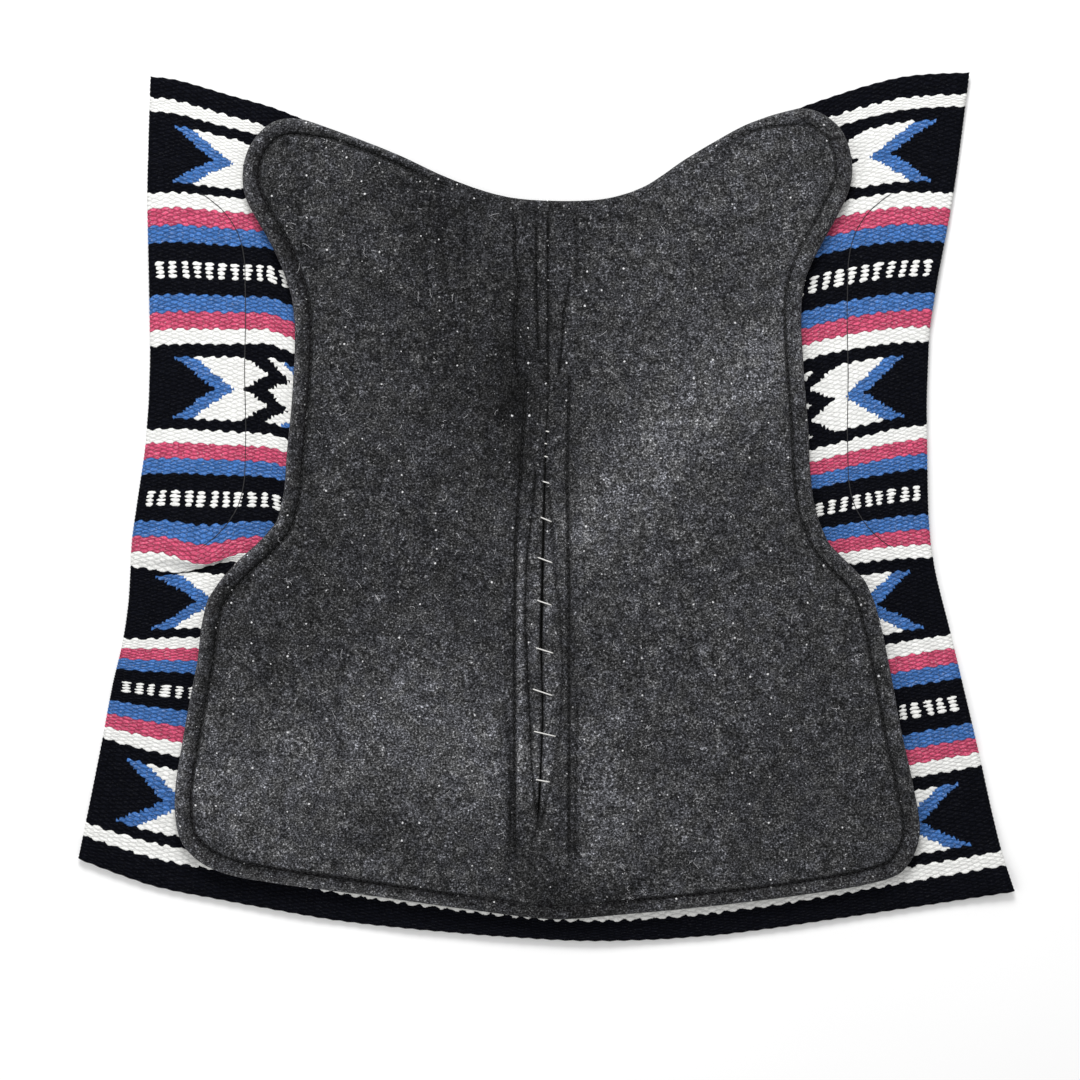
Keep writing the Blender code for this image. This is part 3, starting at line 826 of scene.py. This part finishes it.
# ---------------------------------------------------------------- the felt
def groove_fade(x, y):
    """How strong the topstitched groove inside the edge is: it fades out at the spine."""
    left = ramp(-x, 0.085, 0.140)
    right = ramp(x, 0.130, 0.200) * (1 - 0.22 * ramp(y, 0.12, 0.25))
    rear = 0.35 + 0.65 * ramp(abs(x), 0.020, 0.090)
    return np.where(y > 0, np.where(x < 0, left, right), rear)


def past_groove(x, y, depth):
    """Distance inwards from the topstitched groove, which runs nearer the front and rear edges."""
    front = ramp(y, 0.20, 0.26) * (1 - ramp(abs(x), 0.20, 0.25))
    return depth - RIM_GROOVE + 3.2 * MM * ramp(-y, 0.33, 0.37) + 7 * MM * front


def groove_line():
    """The closed line that the topstitched groove follows."""
    line, step = inset(felt_edge, RIM_GROOVE), 0.5 * MM
    slope = np.column_stack([
        distance(line + shift, felt_line) - distance(line - shift, felt_line)
        for shift in (np.array([step, 0]), np.array([0, step]))]) / (2 * step)
    outwards = past_groove(line[:, 0], line[:, 1], RIM_GROOVE)
    return line - slope * outwards[:, None]


def lopsided(gaps, before, after):
    """A bell with one width before 0 and another after it."""
    return np.where(gaps < 0, bell(gaps, before), bell(gaps, after))


def felt_top(points, depth):
    """Height of the felt's upper face at plan points, depth being how far inside its edge."""
    x, y = points.T
    spine_gap = abs(x - middle_x(y))
    z = np.full(len(points), FLAP_TOP)
    z += 1.3 * MM * waves(points, 0.11, 3) + 0.45 * MM * waves(points, 0.035, 4)
    z += RIDGE_RISE * bell(distance(points, RIDGE), 0.055)
    z -= VALLEY_DROP * bell(distance(points, VALLEY), 0.030)
    # The spine strip lies lower between its seams
    box = ramp(np.minimum(x - by_y(BOX_LEFT, y), by_y(BOX_RIGHT, y) - x), -3 * MM, 3 * MM)
    box *= stretch(y, *STRIP_Y)
    z -= STRIP_DROP * box
    for line in (BOX_LEFT, BOX_RIGHT):
        gap = seam_gap(points, line)
        z -= SEAM_DEPTH * bell(gap, 1.9 * MM) + 1.0 * MM * bell(gap, 7 * MM)
    for left, right in ((BOX_LEFT[0], BOX_RIGHT[0]), (BOX_LEFT[-1], BOX_RIGHT[-1])):
        z -= 0.9 * MM * bell(distance(points, (left, right)), 1.6 * MM)
    for line in (LIP_LEFT, LIP_RIGHT):
        gap = seam_gap(points, line)
        z -= LIP_DEPTH * bell(gap, 1.6 * MM)
    # Rolled lips beside the slit
    slit = stretch(y, *SLIT_Y)
    lip = slit * (0.35 + 0.65 * ramp(-y, -0.05, 0.10))
    z += LIP_SWELL * lip * bell(spine_gap - 6 * MM, 4.5 * MM)
    z -= SLIT_DEPTH * slit * bell(spine_gap, 1.7 * MM)
    for line, drop, width in CREASES:
        z -= drop * bell(seam_gap(points, line, 5 * MM), width)
    inward = past_groove(x, y, depth)
    z -= groove_fade(x, y) * (GROOVE_DEPTH * bell(inward, 1.6 * MM)
                              + GROOVE_SHOULDER * lopsided(inward, 8 * MM, 2.5 * MM))
    z += 1.1 * MM * groove_fade(x, y) * bell(inward + 9 * MM, 5 * MM)
    z += 0.16 * MM * waves(points, 2.6 * MM, 8, 30)
    # The raw edge rounds over and drops to the wall
    share = np.clip(1 - depth / RIM_ROLL, 0, 1)
    wall = FELT_LOW + WALL_SHARE * (z - FELT_LOW)
    return wall + (z - wall) * (1 - share ** EDGE_POWER) ** (1 / EDGE_POWER)


def felt_wear_and_painted_light(points, depth):
    """How light the felt is: its own mottle and some wear, with painted light on its ridge, right
    side, rim and lips, and painted shade in its valley, seams, grooves, creases and slit.
    """
    x, y = points.T
    tone = 0.86 + 0.07 * waves(points, 0.09, 11) + 0.06 * waves(points, 0.03, 12)
    # Painted light: the right side is painted lighter
    tone += 0.14 * ramp(x, 0.0, 0.10)
    # Painted light and painted shade along the listed lines, with some wear
    for line, amount, width in PAINTED_LIGHT_AND_WEAR:
        tone += amount * bell(distance(points, line), width)
    middle = x - middle_x(y)
    # Painted highlight on the lips inside the left box seam and on both sides of the slit, towards
    # the rear
    lower = stretch(-y, *PAINTED_LIP_LIGHT_Y)
    tone *= 1 + lower * (0.95 * bell(x - by_y(BOX_LEFT, y) - 5.5 * MM, 3.5 * MM)
                         + 0.85 * bell(middle - 6.5 * MM, 6 * MM)
                         + 0.45 * bell(middle + 6 * MM, 4 * MM))
    # Painted shade in the box seams, spreading softly to their outer side
    for side, line in ((-1, BOX_LEFT), (1, BOX_RIGHT)):
        gap = seam_gap(points, line) * np.sign(by_y(line, y) - x) * side
        tone *= (1 - 0.93 * bell(gap, 1.4 * MM)) * (1 - 0.22 * lopsided(gap, 8 * MM, 2 * MM))
    # Painted shade in the lip seams
    for line, amount in ((LIP_LEFT, 0.80), (LIP_RIGHT, 0.60)):
        gap = seam_gap(points, line)
        tone *= 1 - amount * bell(gap, 1.5 * MM)
    # Painted shade in the creases
    for line, drop, width in CREASES:
        gap = seam_gap(points, line, 5 * MM)
        tone *= 1 - min(0.92, 0.45 * drop / MM) * bell(gap, 0.75 * width)
    # Painted shade along the slit
    slit = stretch(y, *SLIT_Y)
    tone *= 1 - 0.6 * slit * bell(middle, 1.6 * MM)
    inward = past_groove(x, y, depth)
    # Painted light on the rim's raw edge, strongest on the left, and painted shade on its slope down
    # into the groove
    rim_light_share = np.interp(x, (-0.12, 0.14), (1, 0.35))
    rim = bell(depth - 1.5 * MM, 4 * MM)
    rim -= 0.52 * lopsided(inward + 1 * MM, 5.5 * MM, 1.5 * MM)
    tone *= 1 + groove_fade(x, y) * rim_light_share * rim
    # Painted shade in the topstitched groove
    tone *= 1 - 0.92 * groove_fade(x, y) * bell(inward, 1.4 * MM)
    tone = np.clip(tone, *TONE_RANGE)
    # Painted shadow: the walls of the open slit are painted dark
    walls = (abs(middle) < gape(y) + 0.1 * MM) & (gape(y) > 0.25 * MM)
    return np.where(walls, SLIT_SHADOW_TONE, tone)


def felt_plan(side):
    """The outline and the inner points of one half of the felt."""
    beyond_middle = side * (felt_edge[:, 0] - middle_x(felt_edge[:, 1])) > 0.8 * MM
    first = next(i for i in range(len(felt_edge)) if beyond_middle[i] and not beyond_middle[i - 1])
    rolled = np.roll(felt_edge, -first, axis=0)
    outer = rolled[np.roll(beyond_middle, -first)]
    ends = []
    for sign in (1, -1):
        here = felt_edge[sign * felt_edge[:, 1] > 0]
        near = here[np.argsort(abs(here[:, 0] - middle_x(here[:, 1])))[:2]]
        ends.append(float(near[:, 1].mean()))
    front, rear = ends
    ys = np.linspace(front, rear, int((front - rear) / (2.4 * MM)))
    seam = np.column_stack([middle_x(ys) + side * gape(ys), ys])
    edge = np.vstack([outer, seam if side > 0 else seam[::-1]])
    if area(edge) < 0:
        edge = edge[::-1]
    rings = [inset(felt_edge, depth) for depth in RIM_RINGS]
    inner_points = np.vstack(rings)
    fine = np.arange(1, int(0.055 / SPINE_STEP)) * SPINE_STEP
    rows = np.arange(-0.40, 0.31, 3.0 * MM)
    strip = np.array([(float(middle_x(y)) + side * (float(gape(y)) + gap), y)
                      for y in rows for gap in fine])
    low, high = felt_edge.min(0), felt_edge.max(0)
    xs = np.arange(low[0], high[0], FELT_STEP)
    ys = np.arange(low[1], high[1], FELT_STEP * 0.87)
    grid = np.array([(x + FELT_STEP / 2 * (k % 2), y) for k, y in enumerate(ys) for x in xs])
    grid = grid[side * (grid[:, 0] - SPINE_X) > 0.058]
    field = np.vstack([strip, grid])
    field = field[within(field, felt_edge)]
    field = field[distance(field, felt_line) > RIM_RINGS[-1] + 1 * MM]
    points = np.vstack([inner_points, field])
    points = points[side * (points[:, 0] - middle_x(points[:, 1])) - gape(points[:, 1]) > 0.7 * MM]
    return edge, points[within(points, edge)]


def build_felt(word, side):
    edge, inner = felt_plan(side)

    def heights(plan):
        depth = distance(plan, felt_line)
        return felt_top(plan, depth), np.full(len(plan), FELT_LOW)

    obj = solid(f"felt_{word}", edge, inner, heights, sharp=60)
    for vertex in obj.data.vertices:
        x, y, z = vertex.co
        if z < FELT_LOW + 0.1 * MM and abs(x - middle_x(y)) < gape(y) + 0.1 * MM:
            vertex.co.x = middle_x(y) - side * 0.1 * MM
    places = np.array([tuple(v.co)[:2] for v in obj.data.vertices])
    # The tone attribute holds painted light and painted shade as well as wear
    give(obj, "tone", felt_wear_and_painted_light(places, distance(places, felt_line)))
    return obj


# ---------------------------------------------------------------- the blanket
def blanket_runs():
    """The blanket's front, rear and side edges, split at its four corners."""
    corners = []
    for sx, sy in ((-1, 1), (-1, -1), (1, -1), (1, 1)):
        reach = blanket_loop @ np.array([sx, 1.2 * sy])
        corners.append(int(np.argmax(reach)))
    front_left, rear_left, rear_right, front_right = corners

    def run(start, end):
        if end < start:
            end += len(blanket_loop)
        return blanket_loop[np.arange(start, end + 1) % len(blanket_loop)]

    return (run(front_right, front_left), run(rear_left, rear_right),
            {"left": run(front_left, rear_left), "right": run(rear_right, front_right)})


front_run, rear_run, side_runs = blanket_runs()


def soft_edge(run, column):
    """The edge as a table that np.interp reads, in order of x (column 0) or y (column 1)."""
    made = resample(run, 5 * MM, 6 * MM)
    return made[np.argsort(made[:, column])]


def tuck(x, picks):
    """How far the rows move where the margin is pinched into a fold, and how high it stands."""
    over = -14 * MM * bell(x + 0.333, 0.028)
    under = -8.5 * MM * bell(x + 0.360, 0.030) + 3 * MM * bell(x + 0.310, 0.020)
    after = 3.5 * MM * bell(x + 0.345, 0.022)
    knots = (197.5, 210, 220, 230, 237.5, 243.75, 251.25, 260)
    shares = np.array([np.interp(picks, knots, row) for row in (
        (0, 0.15, 0.55, 1, 0, 0, 0, 0), (0, 0, 0, 0, 1, 0, 0, 0), (0, 0, 0, 0, 0, 1, 0.4, 0))])
    shift = shares[0] * over + shares[1] * under + shares[2] * after
    rise = 7 * MM * bell(x + 0.345, 0.045) * np.interp(
        picks, (207.5, 220, 226, 231, 236, 241), (0, 0.6, 1, 0.95, 0.25, 0))
    return shift, rise


def blanket_half(word, side):
    """A closed woven sheet: a column of points every half warp and a row at every pick."""
    front, rear = soft_edge(front_run, 0), soft_edge(rear_run, 0)
    flank = soft_edge(side_runs[word], 1)
    columns, rows = 2 * WARPS + 1, PICKS + 1
    warp, pick = np.meshgrid(np.arange(columns) / 2, np.arange(rows), indexing="ij")
    share = warp / WARPS
    y = np.interp(pick, KEY_PICKS, KEY_Y[word][0])
    outer, inner = (np.array(keys) for keys in KEY_Y[word])
    lines = []
    for keys in (outer, inner):
        lines.append((keys[0] - keys) / (keys[0] - keys[-1]))
    middle_shares = np.array(KEY_PICKS) / PICKS
    middle_shares[-2] = SLIVER_SHARE
    lines.append(middle_shares)
    shares = [np.interp(pick, KEY_PICKS, line) for line in lines]
    for _ in range(12):
        x = np.interp(y, flank[:, 1], flank[:, 0]) * (1 - share) + SPINE_X * share
        y_front, y_rear = np.interp(x, front[:, 0], front[:, 1]), np.interp(x, rear[:, 0], rear[:, 1])
        flank_x = abs(np.interp(y, flank[:, 1], flank[:, 0]))
        to_inner = np.clip((flank_x - abs(x)) / (flank_x - INNER_X), 0, 1)
        to_spine = np.clip((INNER_X - abs(x)) / INNER_X, 0, 1)
        s = shares[0] * (1 - to_inner) + shares[1] * to_inner
        s = s * (1 - to_spine) + shares[2] * to_spine
        y = y_front + (y_rear - y_front) * s
    rise = np.zeros_like(y)
    if side < 0:
        shift, rise = tuck(x, pick)
        y = y + shift
    plan = np.column_stack([x.ravel(), y.ravel()])
    inside = within(plan, felt_edge)
    outside = np.where(inside, 0, distance(plan, felt_line)).reshape(x.shape)
    low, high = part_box(f"wear_leather_{word}")
    backed = (stretch(x, low.x - EASE, low.x, high.x, high.x + EASE)
              * stretch(y, low.y - EASE, low.y, high.y, high.y + EASE))
    middle = (BLANKET_LOW + BLANKET_HIGH) / 2 + 0 * x
    middle -= SAG * ramp(outside, 5 * MM, 35 * MM) * (1 - backed)
    rolling = waves(plan, 0.075, 21).reshape(x.shape)
    middle += ROLLING * ramp(outside, 4 * MM, 30 * MM) * (1 + rolling)
    for sy in (1, -1):
        corner = flank[-1 if sy > 0 else 0]
        gap = np.hypot(x - corner[0], y - corner[1])
        middle += CORNER_CURL * np.clip(1 - gap / CORNER_REACH, 0, 1) ** 2
    middle += rise

    # A float over every other crossing stands up on one face and dips on the other
    crossing = np.cos(math.pi * (warp - pick))
    rng = np.random.default_rng(31 if side < 0 else 32)
    relief = WEAVE_RELIEF * crossing + 0.10 * MM * rng.standard_normal(x.shape)
    selvedge = np.clip(warp / 1.0, 0, 1)
    header = np.clip(np.minimum(pick, PICKS - pick) / 2.0, 0, 1)
    round_off = np.sqrt(1 - (1 - selvedge) ** 2 * 0.8) * np.sqrt(1 - (1 - header) ** 2 * 0.8)
    half = BLANKET_T / 2 * round_off
    x = x + (1 - selvedge) * 0.2 * MM * np.cos(math.pi * pick) * side
    y = y + (1 - header) * (0.35 * MM * np.cos(math.pi * warp) + 0.3 * MM * rolling)
    top = middle + half + relief - WEAVE_RELIEF
    bottom = np.maximum(middle - half + relief + WEAVE_RELIEF, 0.1 * MM)
    count = columns * rows
    vertices = np.vstack([np.column_stack([x.ravel(), y.ravel(), top.ravel()]),
                          np.column_stack([x.ravel(), y.ravel(), bottom.ravel()])])
    index = np.arange(count).reshape(columns, rows)
    a, b, c, d = index[:-1, :-1], index[1:, :-1], index[1:, 1:], index[:-1, 1:]
    face = np.stack([a, b, c, d], -1).reshape(-1, 4)
    ring = np.concatenate([index[:, 0], index[-1, 1:], index[-2::-1, -1], index[0, -2:0:-1]])
    following = np.roll(ring, -1)
    walls = np.column_stack([ring, following, following + count, ring + count])
    if side < 0:
        faces = np.vstack([face[:, ::-1], face + count, walls])
    else:
        faces = np.vstack([face, face[:, ::-1] + count, walls[:, ::-1]])
    obj = new_mesh(f"blanket_{word}", vertices, faces, sharp=75)
    give(obj, "warp", np.tile(warp.ravel(), 2))
    give(obj, "pick", np.tile(pick.ravel(), 2))
    return obj


# ---------------------------------------------------------------- plates: leathers and cores
def plate(name, edge, low, high, step, rounding, groove=0.0):
    """A flat piece with rounded edges and, below, a shallow stitch groove along its edge."""
    edge = resample(edge, min(step, 3 * MM), 0.8 * MM, True)
    line = np.vstack([edge, edge[:1]])
    depths = [rounding * 0.35, rounding, *((groove + k * MM) for k in (-1, 0, 1) if groove)]
    rings = np.vstack([inset(edge, depth) for depth in depths])
    first, last = edge.min(0), edge.max(0)
    grid = np.array([(x, y) for x in np.arange(first[0], last[0], step)
                     for y in np.arange(first[1], last[1], step)])
    grid = grid[within(grid, edge)]
    grid = grid[distance(grid, line) > max(depths) + step / 2]
    inner = np.vstack([rings, grid])
    inner = inner[within(inner, edge)]

    def heights(plan):
        depth = distance(plan, line)
        share = np.clip(1 - depth / rounding, 0, 1)
        half = (high - low) / 2 * (0.25 + 0.75 * np.sqrt(np.clip(1 - share ** 2, 0, 1)))
        sunk = 0.5 * MM * bell(depth - groove, 0.8 * MM) if groove else 0
        middle = (low + high) / 2
        return middle + half, middle - half + sunk

    obj = solid(name, edge, inner, heights)
    places = np.array([tuple(v.co)[:2] for v in obj.data.vertices])
    give(obj, "edge", bell(distance(places, line), 1.6 * MM))
    return obj


def half_loop(loop, side):
    """The part of a closed outline on one side of the spine's middle."""
    made = []
    for a, b in zip(loop, np.roll(loop, -1, axis=0)):
        inside = side * (a[0] - SPINE_X) >= 0
        if inside:
            made.append(tuple(a))
        if inside != (side * (b[0] - SPINE_X) >= 0):
            share = (SPINE_X - a[0]) / (b[0] - a[0])
            made.append((SPINE_X, a[1] + (b[1] - a[1]) * share))
    return np.array(made)


def lint_paths(word, side):
    """Curved hairs, alone and in small tangles, scattered over one half of the felt."""
    rng = np.random.default_rng(61 if side < 0 else 62)
    low, high = felt_edge.min(0), felt_edge.max(0)
    starts = []
    while len(starts) < LINT_PLACES:
        place = rng.uniform(low, high)
        if side * (place[0] - SPINE_X) < 0.035 or not within(place[None], felt_edge)[0]:
            continue
        if distance(place[None], felt_line)[0] < 0.012:
            continue
        tangle = rng.random() < 0.22
        for _ in range(rng.integers(3, 7) if tangle else 1):
            length = rng.uniform(1.5, 4.5) if tangle else rng.uniform(2.5, 11)
            starts.append((place + rng.normal(0, 1.1 * MM if tangle else 0, 2), length * MM))
    surface = surfaces[f"felt_{word}"]
    paths = []
    for place, length in starts:
        heading, curl = rng.uniform(0, math.tau), rng.normal(0, 1.6)
        path = []
        for _ in range(8):
            path.append((*place, surface.top(*place) + 0.12 * MM))
            place = place + length / 7 * np.array([math.cos(heading), math.sin(heading)])
            heading += curl / 7 + rng.normal(0, 0.12)
        if distance(np.array(path)[:, :2], felt_line).min() > LINT_EDGE:
            paths.append(path)
    return paths


# ---------------------------------------------------------------- putting it together
def bend(obj):
    """Bakes the piece's transform into its mesh."""
    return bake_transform(obj)


def finish_piece(obj, material, slot, *nodes):
    obj.data.materials.append(material)
    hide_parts(*nodes)
    return obj


weave, felt, core = weave_material(), felt_material(), core_material()
leather = leather_material()
black_thread = thread_material("black_thread", (0.012, 0.012, 0.014), 0.7)
white_lace = thread_material("white_lace", (0.80, 0.79, 0.76), 0.6, 500)
lint = thread_material("lint", (0.62, 0.62, 0.64), 0.8)

surfaces = {}
for word, side in SIDES.items():
    woven = finish_piece(blanket_half(word, side), weave, "woven_wool",
                         f"woven_blanket_{word}", "blanket_spine_band")
    surfaces[f"blanket_{word}"] = Surface(woven)
    bend(woven)

    pad = finish_piece(build_felt(word, side), felt, "felt",
                       f"felt_liner_{word}", "felt_spine_gusset")
    surfaces[f"felt_{word}"] = Surface(pad)
    bend(pad)

    inner_pad = plate(f"core_pad_{word}", plan_loop(f"core_{word}"),
                      *(c.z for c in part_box(f"core_{word}")), 6 * MM, 1.5 * MM)
    finish_piece(inner_pad, core, "core_pad", f"core_{word}")
    bend(inner_pad)

    patch = plate(f"wear_patch_{word}", plan_loop(f"wear_leather_{word}"),
                  LEATHER_LOW, LEATHER_HIGH, 8 * MM, 1 * MM, WEAR_GROOVE)
    finish_piece(patch, leather, "leather", f"wear_leather_{word}")
    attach(patch, f"{word}_flap")

    leather_loops = [plan_loop(f"withers_leather_{word}")]
    wing = plate(f"withers_wing_{word}", leather_loops[0], LEATHER_LOW, LEATHER_HIGH,
                 4 * MM, 1 * MM, LEATHER_GROOVE)
    finish_piece(wing, leather, "leather", f"withers_leather_{word}")
    bend(wing)
    for piece, node in (("spine_strap", "spine_leather"),
                        ("withers_strap", "withers_leather_middle")):
        leather_loops.append(half_loop(plan_loop(node), side))
        strap = plate(f"{piece}_{word}", leather_loops[-1], LEATHER_LOW, LEATHER_HIGH,
                      4 * MM, 1 * MM, LEATHER_GROOVE)
        finish_piece(strap, leather, "leather", node)
        bend(strap)

    # Stitching along the edges of the leathers over the withers and the spine
    paths = []
    for loop in leather_loops:
        line = inset(resample(loop, 2 * MM, 2 * MM, True), LEATHER_GROOVE)
        line = line[side * (line[:, 0] - SPINE_X) > 2 * LEATHER_GROOVE]
        line = opened(line)
        paths += under_paths(line, *UNDER_STITCH)
    row = tubes(f"leather_stitches_{word}", paths, LEATHER_THREAD_R)
    row.data.materials.append(black_thread)
    bend(row)

    # White lint clinging to the felt
    row = tubes(f"lint_{word}", lint_paths(word, side), LINT_R, 4)
    row.data.materials.append(lint)
    bend(row)

    # Stitching in the felt's groove
    groove = groove_line()
    groove = groove[side * (groove[:, 0] - SPINE_X) > 8 * MM]
    paths = stitch_paths(opened(groove), surfaces[f"felt_{word}"], *RIM_STITCH)
    row = finish_piece(tubes(f"rim_stitches_{word}", paths, RIM_THREAD_R), black_thread,
                       "black_thread", f"rim_stitch_{word}")
    bend(row)

    # Stitching of the rectangle round the slit, and of the withers dart
    seam = resample(BOX_LEFT if side < 0 else BOX_RIGHT, SEAM_STEP, 8 * MM)
    paths = stitch_paths(seam, surfaces[f"felt_{word}"], *SEAM_STITCH)
    for x, y in (seam[0], seam[-1]):
        line = ((x, y), (float(middle_x(y)) + side * 2.5 * MM, y))
        paths += stitch_paths(line, surfaces[f"felt_{word}"], *END_STITCH)
    row = finish_piece(tubes(f"box_stitches_{word}", paths, SEAM_THREAD_R), black_thread,
                       "black_thread", "box_stitch")
    bend(row)
    crease = CREASES[0 if side < 0 else 2][0]
    dart = resample(crease, SEAM_STEP, 4 * MM)
    paths = stitch_paths(dart, surfaces[f"felt_{word}"], *SEAM_STITCH)
    row = finish_piece(tubes(f"withers_stitches_{word}", paths, SEAM_THREAD_R), black_thread,
                       "black_thread", "withers_stitch")
    bend(row)

    # Fine stitching of the wear leather on the margin
    outline = resample(plan_loop(f"wear_leather_{word}"), 2 * MM, 2 * MM, True)
    outline = inset(outline, WEAR_GROOVE)
    line = opened(outline[abs(outline[:, 0]) < WEAR_SHOWN_X])
    surface = surfaces[f"blanket_{word}"]
    thread = [(x, y, surface.top(x, y) + 0.25 * MM) for x, y in resample(line, 1.5 * MM)]
    thread = resample(thread, 1.5 * MM, 2.5 * MM)
    below = under_paths(np.vstack([outline, outline[:1]]), *UNDER_STITCH)
    row = finish_piece(tubes(f"wear_stitches_{word}", [thread, *below], LEATHER_THREAD_R),
                       black_thread, "black_thread", f"wear_stitch_{word}")
    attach(row, f"{word}_flap")

# The white lace over the slit
paths = []
for left, right in LACING:
    left, right = np.array(left), np.array(right)
    path = []
    for share in np.linspace(0, 1, 9):
        x, y = left + (right - left) * share
        word = "left" if x < middle_x(y) else "right"
        reach = min(share, 1 - share)
        height = (0.5 if reach > 0.1 else -0.8) * MM
        path.append([x, y, surfaces[f"felt_{word}"].top(x, y) + height])
    lift = max(path[2][2], path[-3][2])
    for point in path[2:-2]:
        point[2] = max(point[2], lift + 0.1 * MM)
    paths.append(path)
for x, y in LACE_KNOTS:
    top = surfaces["felt_right"].top(x + 2 * MM, y)
    paths.append([(x + dx * MM, y - 0.25 * dx * MM, top + dz * MM)
                  for dx, dz in ((-1.8, -1.6), (-1.1, -0.6), (0, -0.3), (1.1, -0.5), (1.8, -1.5))])
lace = finish_piece(tubes("lacing", paths, LACE_R, 8), white_lace, "white_lace", "spine_lace")
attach(lace, "spine")


# ---------------------------------------------------------------- floor, light and camera
FLOOR_SIZE = 12
FLOOR_GAP = 0.4 * MM
WORLD_STRENGTH = 0.62
# The name, place, size and power of each lamp
LAMPS = (("key", (-0.15, 1.9, 1.9), 1.2, 60), ("fill", (-1.6, -0.6, 2.2), 2.0, 16))
SHOWN_WIDTH = 1.0476
VIEW_CENTRE = (-0.0063, -0.032)
VIEW_PLANE = 0.012
LENS = 100
SENSOR_WIDTH = 36


def stage():
    bpy.ops.mesh.primitive_plane_add(size=FLOOR_SIZE, location=(0, 0, LEATHER_LOW - FLOOR_GAP))
    floor = bpy.context.object
    floor.name = "floor"
    s = Shader("floor", 0.9, specular=0.1)
    shade = s.span(s.noise(s.place(), 3, 2.0), 0.3, 0.7, 0.985, 1.0)
    s.link(s.shade((0.90, 0.90, 0.90), shade), "Base Color")
    floor.data.materials.append(s.material)


def area_light(name, place, size, energy):
    """A round lamp that points at the middle of the pad."""
    data = bpy.data.lights.new(name, "AREA")
    data.shape, data.size, data.energy = "DISK", size, energy
    lamp = bpy.data.objects.new(name, data)
    lamp.location = place
    lamp.rotation_euler = (-Vector(place)).to_track_quat("-Z", "Y").to_euler()
    bpy.context.scene.collection.objects.link(lamp)


stage()
world = bpy.data.worlds.new("studio")
world.use_nodes = True
world.node_tree.nodes["Background"].inputs["Color"].default_value = (1, 1, 1, 1)
world.node_tree.nodes["Background"].inputs["Strength"].default_value = WORLD_STRENGTH
bpy.context.scene.world = world
for lamp in LAMPS:
    area_light(*lamp)
bpy.context.scene.view_settings.view_transform = "Standard"

camera = bpy.data.objects.new("camera", bpy.data.cameras.new("camera"))
camera.data.lens = LENS
camera.data.sensor_width = SENSOR_WIDTH
distance_up = SHOWN_WIDTH * LENS / SENSOR_WIDTH
camera.location = (*VIEW_CENTRE, VIEW_PLANE + distance_up)
bpy.context.scene.collection.objects.link(camera)
bpy.context.scene.camera = camera
